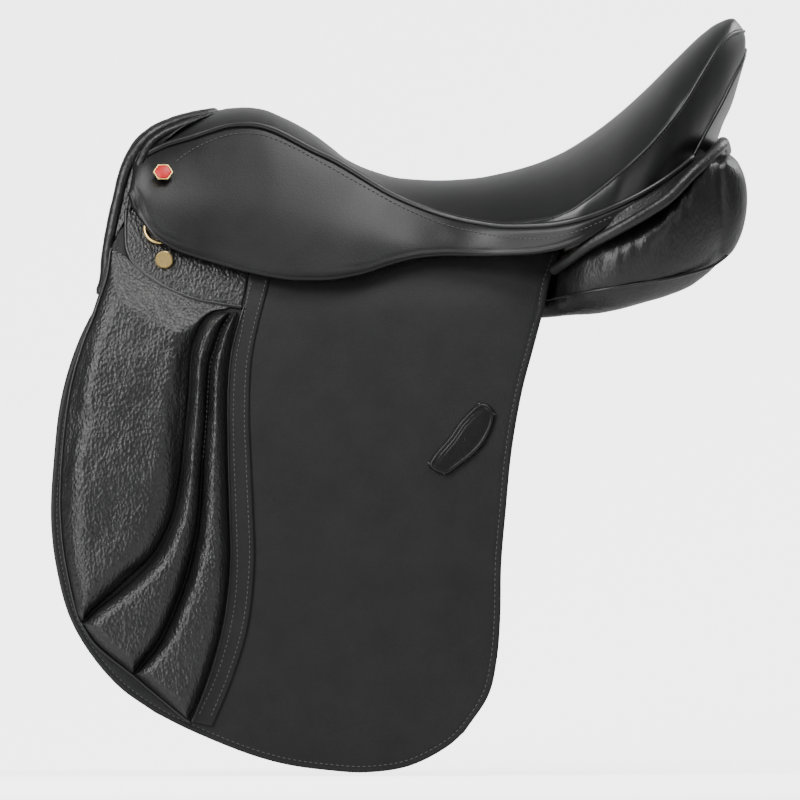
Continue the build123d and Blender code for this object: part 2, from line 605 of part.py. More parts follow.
# ---------------------------------------------------------------------------
# Stirrup bars with a hinged catch on the open rear end
# ---------------------------------------------------------------------------
CATCH_THICK = 1.6
CATCH_LENGTH, CATCH_TALL = 14, 7.6
CATCH_X = BAR_REAR - 2
CATCH_AXIS = (BAR_REAR - 6.5, BAR_Z)
CATCH_PIN_R = 1.6
CATCH_CLEAR = 0.06  # round the pin
PIN_PROUD = 0.6  # of the pin, inwards of the catch
NOTCH_LENGTH = 14
NOTCH_GAP = 0.3  # between the catch and the bar

bar_low_z = BAR_Z - BAR_TALL / 2
bar_in = flap_face(BAR_Z) + BAR_GAP
bar_out = bar_in + BAR_THICK
bar_base = flap_face(bar_low_z) - 5.6
notch_y = bar_in + NOTCH_GAP + CATCH_THICK
# x, y, from the foot of the arm round the bar and its notch for the catch
BAR_OUTLINE = [
    (BAR_FRONT, bar_base), (BAR_FRONT, bar_out), (BAR_REAR, bar_out), (BAR_REAR, notch_y),
    (BAR_REAR - NOTCH_LENGTH, notch_y), (BAR_REAR - NOTCH_LENGTH, bar_in),
    (BAR_FRONT + BAR_ARM, bar_in), (BAR_FRONT + BAR_ARM, bar_base)]

for side, sign in SIDES:
    with BuildPart() as stirrup_bar:
        with BuildSketch(Plane.XY.offset(bar_low_z)):
            with BuildLine():
                Polyline(*[(x, sign * y) for x, y in BAR_OUTLINE], close=True)
            make_face()
        extrude(amount=BAR_TALL)
        fillet(stirrup_bar.edges().filter_by(Axis.Z).group_by(Axis.X)[0], 2)
        with BuildSketch(Plane.XZ):
            with Locations(CATCH_AXIS):
                Circle(CATCH_PIN_R)
        extrude(amount=CUT_REACH, both=True, mode=Mode.SUBTRACT)
    save(stirrup_bar, side + "_stirrup_bar")

    # Plane.XZ faces -Y, so a negative amount times the sign runs outwards
    with BuildPart() as bar_catch:
        with BuildSketch(Plane.XZ.offset(-sign * bar_in)):
            with Locations((CATCH_X, BAR_Z)):
                SlotOverall(CATCH_LENGTH, CATCH_TALL)
            with Locations(CATCH_AXIS):
                Circle(CATCH_PIN_R + CATCH_CLEAR, mode=Mode.SUBTRACT)
        extrude(amount=-sign * CATCH_THICK)
    save(bar_catch, side + "_bar_catch")

with BuildPart() as catch_pins:
    for _, sign in SIDES:
        with BuildSketch(Plane.XZ.offset(-sign * (bar_in - PIN_PROUD))):
            with Locations(CATCH_AXIS):
                Circle(CATCH_PIN_R)
        extrude(amount=-sign * (BAR_THICK + PIN_PROUD))
save(catch_pins, "catch_pins")

# ---------------------------------------------------------------------------
# Dees, each with a straight bar on top held by a staple
# ---------------------------------------------------------------------------
DEE_X, DEE_BAR_Z = -205.0, -32.4
DEE_R = 10.5  # half length of the straight bar
DEE_DROP = 14.5
DEE_WIRE_R = 1.35
DEE_SLOPE = 24.4  # degrees from upright
DEE_CLEAR = 2.6  # room round the bar, outwards and downwards
STAPLE_LENGTH = 6
dee_y = flap_face(DEE_BAR_Z - DEE_CLEAR) + FLAP_GAP + COVER_LEATHER + DEE_CLEAR

for side, sign in SIDES:
    dee_plane = Plane(origin=(DEE_X, sign * dee_y, DEE_BAR_Z), x_dir=(1, 0, 0),
                      z_dir=(0, -cos(radians(DEE_SLOPE)), -sign * sin(radians(DEE_SLOPE))))
    with BuildPart() as dee:
        with BuildLine(dee_plane):
            bar = Line((-DEE_R, 0), (DEE_R, 0))
        with BuildSketch(Plane(origin=bar @ 0, z_dir=bar % 0)):
            Circle(DEE_WIRE_R)
        sweep()
        with BuildLine(dee_plane):
            bow = ThreePointArc((-DEE_R, 0), (0, -DEE_DROP), (DEE_R, 0))
        with BuildSketch(Plane(origin=bow @ 0, z_dir=bow % 0)):
            Circle(DEE_WIRE_R)
        sweep()
        with Locations(bar @ 0, bar @ 1):
            Sphere(DEE_WIRE_R)
    save(dee, side + "_dee")

with BuildPart() as dee_staples:
    for _, sign in SIDES:
        with BuildSketch(Plane.YZ.offset(DEE_X - STAPLE_LENGTH / 2)):
            with Locations((sign * dee_y, DEE_BAR_Z)):
                Circle(DEE_WIRE_R + 1.0)
                Circle(DEE_WIRE_R + 0.08, mode=Mode.SUBTRACT)
        extrude(amount=STAPLE_LENGTH)
save(dee_staples, "dee_staples")

# ---------------------------------------------------------------------------
# Cover nails and badges
# ---------------------------------------------------------------------------
NAIL_GAP = 0.2  # between the point cover and the nail's head
NAIL_HEAD_THICK = 1.8
nail_y = flap_face(NAIL_Z - NAIL_HEAD_R) + FLAP_GAP + COVER_LEATHER + NAIL_GAP

with BuildPart() as cover_nails:
    for _, sign in SIDES:
        with BuildSketch(Plane.XZ.offset(-sign * nail_y)):
            with Locations((NAIL_X, NAIL_Z)):
                Circle(NAIL_HEAD_R)
        extrude(amount=-sign * NAIL_HEAD_THICK)
        # The shank starts just inside the head and runs inwards
        with BuildSketch(Plane.XZ.offset(-sign * (nail_y + 0.2))):
            with Locations((NAIL_X, NAIL_Z)):
                Circle(NAIL_SHANK_R)
        extrude(amount=sign * 10)
    chamfer(cover_nails.faces().group_by(Axis.Y)[0].edges(), 0.7)
    chamfer(cover_nails.faces().group_by(Axis.Y)[-1].edges(), 0.7)
save(cover_nails, "cover_nails")

# Six-sided badges, halfway between the skirt's top edge and its fold
BADGE_X, BADGE_Z = -202.6, 6.0
BADGE_R = 7.4
BADGE_THICK = 1.6
badge_y = 0.5 * (at(SKIRT, BADGE_X, 1) + at(SKIRT, BADGE_X, 3)) + 4.5

with BuildPart() as badges:
    for _, sign in SIDES:
        badge_plane = Plane(origin=(BADGE_X, sign * badge_y, BADGE_Z), x_dir=(1, 0, 0),
                            z_dir=(0, sign * 0.83, 0.56))
        with BuildSketch(badge_plane):
            RegularPolygon(BADGE_R, 6)
        extrude(amount=BADGE_THICK)
        chamfer(badges.faces().group_by(Axis.Y)[-1 if sign > 0 else 0].edges(), 0.4)
save(badges, "badges")
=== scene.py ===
import bpy, bmesh, math
import numpy as np
from mathutils import Vector, Matrix


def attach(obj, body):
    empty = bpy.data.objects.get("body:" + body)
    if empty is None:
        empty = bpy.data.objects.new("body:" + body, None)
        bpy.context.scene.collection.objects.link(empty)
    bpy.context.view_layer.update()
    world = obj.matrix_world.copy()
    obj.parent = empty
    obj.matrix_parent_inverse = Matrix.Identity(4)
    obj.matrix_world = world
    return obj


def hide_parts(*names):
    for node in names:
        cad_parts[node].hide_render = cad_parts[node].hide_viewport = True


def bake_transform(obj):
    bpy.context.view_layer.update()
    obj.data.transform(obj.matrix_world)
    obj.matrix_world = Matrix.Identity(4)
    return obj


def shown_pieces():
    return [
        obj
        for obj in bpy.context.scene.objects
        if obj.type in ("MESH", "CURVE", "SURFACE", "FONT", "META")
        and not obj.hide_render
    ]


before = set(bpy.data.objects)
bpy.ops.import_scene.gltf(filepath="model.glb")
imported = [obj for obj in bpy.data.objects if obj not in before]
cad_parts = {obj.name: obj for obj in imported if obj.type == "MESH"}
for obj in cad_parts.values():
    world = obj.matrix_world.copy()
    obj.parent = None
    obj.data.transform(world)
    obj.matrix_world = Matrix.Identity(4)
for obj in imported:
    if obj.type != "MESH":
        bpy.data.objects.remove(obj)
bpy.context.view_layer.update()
MM = 0.001


# --------------------------------------------------------------------------- tables (mm)
def pchip(table, cols=1):
    """Smooth, non-overshooting reader of (x, value...) rows."""
    a = np.array(table, float)
    x = a[:, 0]
    out = []
    for c in range(1, a.shape[1]):
        y = a[:, c]
        h = np.diff(x); d = np.diff(y) / h
        m = np.zeros_like(y)
        m[0], m[-1] = d[0], d[-1]
        for i in range(1, len(y) - 1):
            if d[i - 1] * d[i] > 0:
                w1, w2 = 2 * h[i] + h[i - 1], h[i] + 2 * h[i - 1]
                m[i] = (w1 + w2) / (w1 / d[i - 1] + w2 / d[i])
        out.append(m)

    def f(q):
        q = np.clip(np.asarray(q, float), x[0], x[-1])
        i = np.clip(np.searchsorted(x, q) - 1, 0, len(x) - 2)
        h = x[i + 1] - x[i]; t = (q - x[i]) / h
        res = []
        for c in range(1, a.shape[1]):
            y, m = a[:, c], out[c - 1]
            res.append((2*t**3 - 3*t**2 + 1) * y[i] + (t**3 - 2*t**2 + t) * h * m[i] +
                       (-2*t**3 + 3*t**2) * y[i + 1] + (t**3 - t**2) * h * m[i + 1])
        return res[0] if len(res) == 1 else np.array(res)
    return f


def smooth_path(pts, step=3.0, closed=False):
    """Catmull-Rom through points (any dimension), resampled at an even step."""
    P = np.array(pts, float)
    n = len(P)
    if closed:
        Q = np.vstack([P[-1], P, P[0], P[1]])
        segs = n
    else:
        Q = np.vstack([2 * P[0] - P[1], P, 2 * P[-1] - P[-2]])
        segs = n - 1
    out = []
    for i in range(segs):
        p0, p1, p2, p3 = Q[i], Q[i + 1], Q[i + 2], Q[i + 3]
        d01, d12, d23 = [max(np.linalg.norm(b - a), 1e-6) ** 0.5 for a, b in ((p0, p1), (p1, p2), (p2, p3))]
        t0, t1 = 0, d01; t2 = t1 + d12; t3 = t2 + d23
        for t in np.linspace(t1, t2, 17)[:-1]:
            a1 = (t1 - t) / (t1 - t0) * p0 + (t - t0) / (t1 - t0) * p1
            a2 = (t2 - t) / (t2 - t1) * p1 + (t - t1) / (t2 - t1) * p2
            a3 = (t3 - t) / (t3 - t2) * p2 + (t - t2) / (t3 - t2) * p3
            b1 = (t2 - t) / (t2 - t0) * a1 + (t - t0) / (t2 - t0) * a2
            b2 = (t3 - t) / (t3 - t1) * a2 + (t - t1) / (t3 - t1) * a3
            out.append((t2 - t) / (t2 - t1) * b1 + (t - t1) / (t2 - t1) * b2)
    if not closed:
        out.append(P[-1])
    out = np.array(out)
    if closed:
        out = np.vstack([out, out[0]])
    s = np.concatenate([[0], np.cumsum(np.linalg.norm(np.diff(out, axis=0), axis=1))])
    m = max(2, int(round(s[-1] / step)) + 1)
    q = np.linspace(0, s[-1], m)
    r = np.stack([np.interp(q, s, out[:, k]) for k in range(out.shape[1])], 1)
    return r[:-1] if closed else r


FLAP_Y = [(-446, 168.3), (-420, 167.6), (-380, 165), (-340, 162), (-300, 158), (-260, 153), (-220, 147),
          (-185, 140.4), (-150, 132.6), (-120, 125), (-95, 118), (-72, 108.2), (-50, 98), (-35, 91.2), (-20, 84), (0, 74)]
F = pchip(FLAP_Y)
SEAT_Z = pchip([(-216, 42), (-205, 44), (-192, 46.5), (-180, 49), (-168, 51.2), (-156, 53.2), (-141, 54.1), (-130, 52.9),
                (-112.5, 46.2), (-101, 40.4), (-89.6, 33.5), (-78.2, 25), (-65.4, 15.1), (-46.2, 6.6), (-24.8, 1.2),
                (3, -0.3), (28.7, 1.2), (50.1, 5.1), (71.4, 10.8), (92.8, 19.4), (114.2, 32.2), (135.6, 48.3),
                (157, 67.5), (178.4, 88.9), (199.7, 109.2), (210.4, 116.7), (221.1, 120.3), (227.5, 117.7),
                (231.8, 110.3), (234, 98)])
WELT_Y = pchip([(-217, 66), (-200, 61), (-181, 60), (-160, 60), (-140, 61), (-120, 63), (-100, 66), (-75, 71),
                (-50, 77), (-25, 84), (0, 92), (30, 105), (60, 121), (90, 135), (110, 141), (130, 142), (150, 136),
                (170, 121), (185, 99), (192, 86)])
WELT_Z = pchip([(-216.4, 18.6), (-201.6, 26.1), (-181, 32.4), (-162.8, 38.7), (-151.3, 41.7), (-137.6, 42.1),
                (-123.9, 39.3), (-106.8, 31.3), (-89.6, 22.1), (-78.2, 17.1), (-56.8, 4.5), (-35.5, -8.4),
                (-14.2, -18), (7.3, -25.5), (28.7, -30.4), (54.3, -33.5), (82.1, -32.6), (107.8, -28.1),
                (135.6, -18), (157, -7.4), (178.4, 6.6), (191.6, 17.7)])
# edge of the seat's top face: along the welt in front, along the crease behind: x, y, z
EDGE = [(-214, 63, 20.5), (-199, 58.5, 27.6), (-181, 57.8, 33.4), (-162.8, 57.8, 39.6), (-151.3, 58, 42.4), (-137.6, 58.4, 42.9),
        (-123.9, 59.8, 40.2), (-106.8, 62, 32.3), (-89.6, 65, 23.2), (-78.2, 67.6, 18.1), (-56.8, 72.6, 5.5),
        (-35.5, 78.3, -7.4), (-14.2, 84.7, -17), (7.3, 92.2, -24.4), (28.7, 101.8, -29.2), (54.3, 115, -31.8),
        (76, 126, -29.5), (99.2, 136.5, -22.4), (114.2, 139.2, -12.7), (135.6, 138, 4.5), (157, 127.5, 23.7),
        (174, 114, 42.9), (186.9, 97, 60), (196.5, 83, 76), (204, 71, 88.5), (211, 58, 99.5), (217, 46, 106),
        (222, 34, 109.5), (226.5, 20, 110.5), (229.5, 8, 110.6), (230.3, 0, 110.6)]
EDGE_Y = pchip([(e[0], e[1]) for e in EDGE]); EDGE_Z = pchip([(e[0], e[2]) for e in EDGE])
SEAM = pchip([(18.3, 192.2, 86), (36.5, 201.9, 72), (55.7, 212.5, 57), (72.9, 221.1, 40), (89.9, 229.7, 15), (97, 231.4, 4)])
BACK = pchip([(16, 204.6), (22, 206.8), (30.5, 209.3), (40.8, 212.5), (55.7, 219), (74.9, 225.4), (91, 230.7), (98.5, 232.2), (106, 232.1)])
SKIRT = [(-225, 89, -2, 92, -8.3, 95, -14), (-221, 80, 9, 92.5, -9, 99, -26), (-215, 70.5, 15, 93, -10.2, 106, -35),
         (-206, 66.5, 21.2, 94, -11.9, 110, -43.6), (-192, 64.5, 26.6, 95, -14.5, 111.5, -51),
         (-176, 63.4, 31.4, 96.4, -17.6, 112.5, -56.6), (-146, 64, 38, 99, -23.2, 117, -65.3),
         (-124, 66, 35.6, 101, -27.4, 120.5, -70.4), (-107, 68, 27.6, 102.5, -30.6, 122.5, -72.7),
         (-78, 73.5, 13.4, 105, -36, 123, -72.7), (-53, 79.5, -1.5, 107, -40.8, 120, -68.2),
         (-35, 84.5, -12.2, 108.6, -44.2, 117, -61.8), (-14, 91, -21.6, 110.4, -48.1, 114.5, -56),
         (7, 98, -28.9, 110, -44, 115, -54.4), (39, 113, -35.6, 117, -46, 119.5, -55.4),
         (71, 130, -36.6, 131, -46, 131.5, -54.4), (93, 140, -35.6, 140.4, -43.4, 140.6, -50.7),
         (114, 145.6, -29.2, 145.8, -36.2, 145.8, -42.6), (136, 144, -21.2, 144.3, -25.8, 144.3, -30.2),
         (157, 134.6, -10.8, 135, -13.8, 135.2, -16.6), (174, 120, 0.2, 120.4, -1.8, 120.6, -3.6),
         (186, 101, 9.2, 101.4, 8.2, 101.6, 7.2), (191.5, 90, 14, 90.3, 13.4, 90.5, 12.8)]
SK = pchip(SKIRT)
SKIRT_LOW = [(-225.6, -4), (-225.2, -12.1), (-222.2, -24.6), (-215.3, -35.0), (-206.1, -43.6), (-192.4, -51.0),
             (-176.6, -56.6), (-146.8, -65.3), (-123.9, -70.4), (-106.8, -72.7), (-78.2, -72.7), (-52.6, -68.2),
             (-35.5, -61.8), (-14.2, -56.1), (7.3, -54.4), (39.3, -55.4), (71.4, -54.4), (92.8, -50.7),
             (114.2, -42.6), (135.6, -29.8), (157.0, -15.9), (174.0, -3.0), (191.5, 13.5)]
FLAP_OUT = [(-244, -62), (-249.6, -81.2), (-252.9, -95.4), (-258.5, -105.8), (-266.7, -123.7), (-274.9, -148.3), (-280.5, -174.3),
            (-284.6, -215.3), (-286.1, -237.7), (-286.1, -255.5), (-282.9, -283.8), (-272.9, -322.6), (-257.2, -350.9),
            (-234.7, -376.7), (-208.7, -395.2), (-183.3, -408), (-137.5, -426.6), (-109, -434.3), (-78.2, -438.4),
            (-52.4, -439.9), (-19.4, -435.1), (8.8, -420.9), (27.6, -403.8), (40.1, -381.9), (46.2, -355.2),
            (48.7, -325.4), (49.5, -284.6), (52.7, -246.2), (57.4, -198.9), (65.2, -155), (73, -125.5), (79.3, -102),
            (85.6, -73.8), (92.2, -52)]
GROOVE1 = [(-168, -94), (-170.3, -101.3), (-177.2, -117.7), (-180.6, -133.0), (-182.7, -160.5), (-185.5, -188.0), (-189.2, -222.8),
           (-194.8, -250.3), (-208.7, -278.3), (-230.2, -299.7), (-251.5, -316.8), (-263.7, -328.9)]
GROOVE2 = [(-154, -94), (-156.4, -101.3), (-163.4, -116.4), (-168.4, -139.8), (-170.3, -174.3), (-173.1, -208.6), (-176.0, -251.3),
           (-183.1, -286.8), (-194.5, -319.6), (-205.9, -343.9), (-224.5, -368.0)]
PADRIGHT = [(-144.5, -94), (-147, -104), (-152.4, -125.9), (-155.1, -153.5), (-155.1, -201.9), (-153.8, -252.6), (-153.2, -279.7),
            (-157.4, -322.6), (-166.0, -358.1), (-176.0, -386.7), (-183.1, -402.3)]
LOWSEAM = [(-263.7, -328.9), (-253.3, -344.2), (-224.5, -368.0), (-204.9, -384.4), (-183.1, -402.3)]
PADLEFT = [(-250, -94), (-253.3, -100.6), (-260.0, -114.7), (-270.9, -150.9), (-276.4, -187.7), (-279.2, -229.5), (-278.6, -256.3),
           (-275.6, -282.4), (-268.5, -314), (-263.7, -328.9)]
ROWA = [(-139, -92), (-144.1, -110.9), (-148.3, -133.0), (-150.3, -174.3), (-149.7, -207.9), (-148.3, -243.2), (-147.5, -294.1),
        (-151.8, -329.7), (-161.7, -365.3), (-176.0, -397.2)]
ROWB = [(-127.0, -78), (-134.5, -105.4), (-140.1, -133.0), (-142.0, -174.3), (-140.8, -207.9), (-139.3, -243.2),
        (-138.2, -279.7), (-143.2, -329.7), (-154.6, -368.0), (-168.0, -400.5)]
POINT_COVER = [(-229.6, -20), (-230.4, -35), (-229.5, -50.3), (-225.4, -59.9), (-211.6, -72.3), (-197.8, -80.5),
               (-177.3, -88.2), (-163.4, -90.9), (-144.1, -93.7), (-140.1, -77.5), (-137.8, -60.3), (-138, -44),
               (-175, -32), (-212, -20)]
KEEPER = [(35.2, -164.5), (44, -171), (42.5, -183), (33.5, -198.5), (17.9, -211.9), (7.5, -218.2), (-4.5, -212),
          (-2.5, -205.5), (10.4, -190), (19.4, -177.3)]


# --------------------------------------------------------------------------- mesh helpers
def new_obj(name, verts, faces, mat, smooth=True):
    me = bpy.data.meshes.new(name)
    me.from_pydata([tuple(v) for v in verts], [], faces)
    me.validate(); me.update()
    ob = bpy.data.objects.new(name, me)
    bpy.context.scene.collection.objects.link(ob)
    bm = bmesh.new(); bm.from_mesh(me)
    bmesh.ops.remove_doubles(bm, verts=bm.verts, dist=2e-6)
    bmesh.ops.dissolve_degenerate(bm, dist=1e-6, edges=bm.edges)
    bmesh.ops.recalc_face_normals(bm, faces=bm.faces)
    bm.to_mesh(me); bm.free()
    if smooth:
        for p in me.polygons: p.use_smooth = True
    me.materials.append(mat)
    return ob


def bake(ob):
    """Applies an object's modifiers."""
    dg = bpy.context.evaluated_depsgraph_get()
    me = bpy.data.meshes.new_from_object(ob.evaluated_get(dg))
    old = ob.data
    ob.modifiers.clear(); ob.data = me
    if not me.materials and old.materials: me.materials.append(old.materials[0])
    for p in me.polygons: p.use_smooth = True
    return ob


def sheet(name, A, B, mat, wrap=False):
    """Closed solid between two grids of points (rows, cols, 3), in mm."""
    A, B = np.asarray(A), np.asarray(B)
    r, c = A.shape[:2]
    V = np.vstack([A.reshape(-1, 3), B.reshape(-1, 3)]) * MM
    n = r * c
    Fc = []
    cc = c if wrap else c - 1
    for i in range(r - 1):
        for j in range(cc):
            a, b = i * c + j, i * c + (j + 1) % c
            d, e = (i + 1) * c + (j + 1) % c, (i + 1) * c + j
            Fc.append((a, b, d, e)); Fc.append((n + e, n + d, n + b, n + a))
    for j in range(cc):
        a, b = j, (j + 1) % c
        Fc.append((b, a, n + a, n + b))
        a, b = (r - 1) * c + j, (r - 1) * c + (j + 1) % c
        Fc.append((a, b, n + b, n + a))
    if not wrap:
        for i in range(r - 1):
            a, b = i * c, (i + 1) * c
            Fc.append((a, b, n + b, n + a))
            a, b = i * c + c - 1, (i + 1) * c + c - 1
            Fc.append((b, a, n + a, n + b))
    return new_obj(name, V, Fc, mat)


def soften(ob, width=0.9, seg=3, angle=50):
    m = ob.modifiers.new("edge", "BEVEL"); m.width = width * MM; m.segments = seg
    m.limit_method = "ANGLE"; m.angle_limit = math.radians(angle); m.use_clamp_overlap = True
    return bake(ob)


def tube(name, path, radius, mat, seg=12, caps=True, flat=1.0):
    """Tube along a path in mm; radius may be a number or a list."""
    P = np.asarray(path, float); n = len(P)
    R = np.full(n, radius) if np.isscalar(radius) else np.asarray(radius)
    T = np.gradient(P, axis=0); T /= np.linalg.norm(T, axis=1)[:, None]
    N = np.zeros_like(P); ref = np.array([0.0, 0, 1]) if abs(T[0][2]) < 0.9 else np.array([0.0, 1, 0])
    v = ref - T[0] * ref.dot(T[0]); N[0] = v / np.linalg.norm(v)
    for i in range(1, n):
        v = N[i - 1] - T[i] * N[i - 1].dot(T[i]); N[i] = v / np.linalg.norm(v)
    Bn = np.cross(T, N)
    V, Fc = [], []
    for i in range(n):
        for k in range(seg):
            a = 2 * math.pi * k / seg
            V.append(P[i] + R[i] * (math.cos(a) * N[i] + flat * math.sin(a) * Bn[i]))
    for i in range(n - 1):
        for k in range(seg):
            Fc.append((i * seg + k, i * seg + (k + 1) % seg, (i + 1) * seg + (k + 1) % seg, (i + 1) * seg + k))
    if caps:
        V += [P[0] - T[0] * R[0] * 0.5, P[-1] + T[-1] * R[-1] * 0.5]
        a, b = len(V) - 2, len(V) - 1
        for k in range(seg):
            Fc.append((a, (k + 1) % seg, k)); Fc.append((b, (n - 1) * seg + k, (n - 1) * seg + (k + 1) % seg))
    return new_obj(name, np.array(V) * MM, Fc, mat)


def stitches(name, path, normal, mat, length=2.6, gap=1.5, r=0.42, lift=0.2):
    """A row of separate thread stitches lying along a path; normal(p) gives the outward direction."""
    P = smooth_path(path, 0.5) if len(path) < 400 else np.asarray(path)
    s = np.concatenate([[0], np.cumsum(np.linalg.norm(np.diff(P, axis=0), axis=1))])
    V, Fc = [], []
    q = gap
    prof = [(-0.5, 0.25), (-0.36, 0.8), (0.0, 1.0), (0.36, 0.8), (0.5, 0.25)]
    while q + length < s[-1]:
        a = np.array([np.interp(q, s, P[:, k]) for k in range(3)])
        b = np.array([np.interp(q + length, s, P[:, k]) for k in range(3)])
        t = (b - a) / max(np.linalg.norm(b - a), 1e-9); m = (a + b) / 2
        nn = np.asarray(normal(m), float); nn /= np.linalg.norm(nn)
        side = np.cross(t, nn); side /= np.linalg.norm(side); nn = np.cross(side, t)
        base = len(V)
        for u, w in prof:
            c = m + t * u * length + nn * (lift - 0.25 * (1 - w))
            for k in range(6):
                ang = 2 * math.pi * k / 6
                V.append(c + r * w * (math.cos(ang) * side + 0.8 * math.sin(ang) * nn))
        for i in range(4):
            for k in range(6):
                Fc.append((base + i * 6 + k, base + i * 6 + (k + 1) % 6, base + (i + 1) * 6 + (k + 1) % 6, base + (i + 1) * 6 + k))
        Fc.append(tuple(base + k for k in reversed(range(6)))); Fc.append(tuple(base + 24 + k for k in range(6)))
        q += length + gap
    return new_obj(name, np.array(V) * MM, Fc, mat)


def rows_between(left, right, z0, z1, nz, nx, ease=True):
    """Grid of (x, z) between two chains given as (x, z) points, from z0 down to z1."""
    L, R = smooth_path(left, 1.0), smooth_path(right, 1.0)
    L, R = L[np.argsort(L[:, 1])], R[np.argsort(R[:, 1])]
    t = np.linspace(0, 1, nz)
    if ease: t = np.sin(t * math.pi / 2) * 0.55 + t * 0.45
    Z = z0 + (z1 - z0) * t
    xl, xr = np.interp(Z, L[:, 1], L[:, 0]), np.interp(Z, R[:, 1], R[:, 0])
    u = np.linspace(0, 1, nx)
    X = xl[:, None] + (xr - xl)[:, None] * u[None]
    return X, np.repeat(Z[:, None], nx, 1)


def dist_to(X, Z, path):
    """Shortest distance in XZ from grid points to a path of (x, z)."""
    P = np.asarray(path); A, B = P[:-1], P[1:]
    best = np.full(X.shape, 1e9)
    for a, b in zip(A, B):
        ab = b - a; L2 = max(ab.dot(ab), 1e-9)
        t = np.clip(((X - a[0]) * ab[0] + (Z - a[1]) * ab[1]) / L2, 0, 1)
        best = np.minimum(best, np.hypot(X - a[0] - t * ab[0], Z - a[1] - t * ab[1]))
    return best


def noise(X, Y, Z, scale, seed=0):
    from mathutils import noise as N
    out = np.zeros(X.shape)
    for idx in np.ndindex(X.shape):
        out[idx] = N.noise(Vector((X[idx] / scale + seed, Y[idx] / scale, Z[idx] / scale)))
    return out


# --------------------------------------------------------------------------- materials
def mat_nodes(name):
    m = bpy.data.materials.new(name); m.use_nodes = True
    nt = m.node_tree; nt.nodes.clear()
    out = nt.nodes.new("ShaderNodeOutputMaterial"); b = nt.nodes.new("ShaderNodeBsdfPrincipled")
    nt.links.new(b.outputs[0], out.inputs[0])
    return m, nt, b


def leather(name, base=0.018, rough=0.42, grain="fine", bump=0.25, scale=1.0, mottled=0.3, coat=0.1, wrinkle=0.0, spec=0.5):
    m, nt, b = mat_nodes(name)
    N, L = nt.nodes.new, nt.links.new
    co = N("ShaderNodeTexCoord").outputs["Object"]
    n1 = N("ShaderNodeTexNoise"); n1.inputs["Scale"].default_value = 38; n1.inputs["Detail"].default_value = 8
    n1.inputs["Roughness"].default_value = 0.62; L(co, n1.inputs["Vector"])
    n2 = N("ShaderNodeTexNoise"); n2.inputs["Scale"].default_value = 520; n2.inputs["Detail"].default_value = 4; L(co, n2.inputs["Vector"])
    ramp = N("ShaderNodeValToRGB"); L(n1.outputs[0], ramp.inputs[0])
    lo, hi = base * (1 - mottled), base * (1 + mottled)
    ramp.color_ramp.elements[0].position = 0.3; ramp.color_ramp.elements[0].color = (lo, lo, lo * 1.02, 1)
    ramp.color_ramp.elements[1].position = 0.7; ramp.color_ramp.elements[1].color = (hi, hi, hi * 1.03, 1)
    mix_ = N("ShaderNodeMixRGB"); mix_.blend_type = "OVERLAY"; mix_.inputs[0].default_value = 0.3
    L(ramp.outputs[0], mix_.inputs[1]); L(n2.outputs[0], mix_.inputs[2])
    # painted highlight: raised edges (high pointiness) get a paler base colour that stands in for edge sheen
    g = N("ShaderNodeNewGeometry"); edge_highlight = N("ShaderNodeMapRange")
    edge_highlight.inputs[1].default_value = 0.53; edge_highlight.inputs[2].default_value = 0.64; edge_highlight.inputs[4].default_value = 0.35
    L(g.outputs["Pointiness"], edge_highlight.inputs[0])
    mw = N("ShaderNodeMixRGB"); L(edge_highlight.outputs[0], mw.inputs[0]); L(mix_.outputs[0], mw.inputs[1])
    # painted highlight colour for the raised edges
    mw.inputs[2].default_value = (base * 2.6 + 0.004,) * 3 + (1,)
    L(mw.outputs[0], b.inputs["Base Color"])
    rr = N("ShaderNodeMapRange"); L(n1.outputs[0], rr.inputs[0])
    rr.inputs[3].default_value = rough - 0.05; rr.inputs[4].default_value = rough + 0.07
    L(rr.outputs[0], b.inputs["Roughness"])
    b.inputs["Specular IOR Level"].default_value = spec
    b.inputs["Coat Weight"].default_value = coat; b.inputs["Coat Roughness"].default_value = 0.32
    v = N("ShaderNodeTexVoronoi"); v.feature = "SMOOTH_F1"; v.inputs["Smoothness"].default_value = 0.5
    v.inputs["Scale"].default_value = (1000 if grain == "fine" else 430) * scale
    mp = N("ShaderNodeMapping"); mp.inputs["Scale"].default_value = (1, 1, 1 if grain == "fine" else 0.62)
    warp = N("ShaderNodeTexNoise"); warp.inputs["Scale"].default_value = 120; warp.inputs["Detail"].default_value = 3; L(co, warp.inputs["Vector"])
    wm = N("ShaderNodeMixRGB"); wm.inputs[0].default_value = 0.0012; L(co, wm.inputs[1]); L(warp.outputs[1], wm.inputs[2])
    L(wm.outputs[0], mp.inputs[0]); L(mp.outputs[0], v.inputs["Vector"])
    fine = N("ShaderNodeTexNoise"); fine.inputs["Scale"].default_value = 1500; L(co, fine.inputs["Vector"])
    add = N("ShaderNodeMath"); add.operation = "MULTIPLY_ADD"; L(fine.outputs[0], add.inputs[0]); add.inputs[1].default_value = 0.3
    L(v.outputs["Distance"], add.inputs[2])
    bp = N("ShaderNodeBump"); bp.inputs["Strength"].default_value = bump
    bp.inputs["Distance"].default_value = 0.0005 if grain == "fine" else 0.0013
    L(add.outputs[0], bp.inputs["Height"])
    last = bp
    if wrinkle:
        m2 = N("ShaderNodeMapping"); m2.inputs["Scale"].default_value = (1, 1, 0.42); m2.inputs["Rotation"].default_value = (0, 0.25, 0)
        L(co, m2.inputs[0])
        w = N("ShaderNodeTexNoise"); w.inputs["Scale"].default_value = 230; w.inputs["Detail"].default_value = 6
        w.inputs["Distortion"].default_value = 0.4; L(m2.outputs[0], w.inputs["Vector"])
        b2 = N("ShaderNodeBump"); b2.inputs["Strength"].default_value = wrinkle; b2.inputs["Distance"].default_value = 0.004
        L(w.outputs[0], b2.inputs["Height"]); L(bp.outputs[0], b2.inputs["Normal"]); last = b2
    L(last.outputs[0], b.inputs["Normal"])
    return m


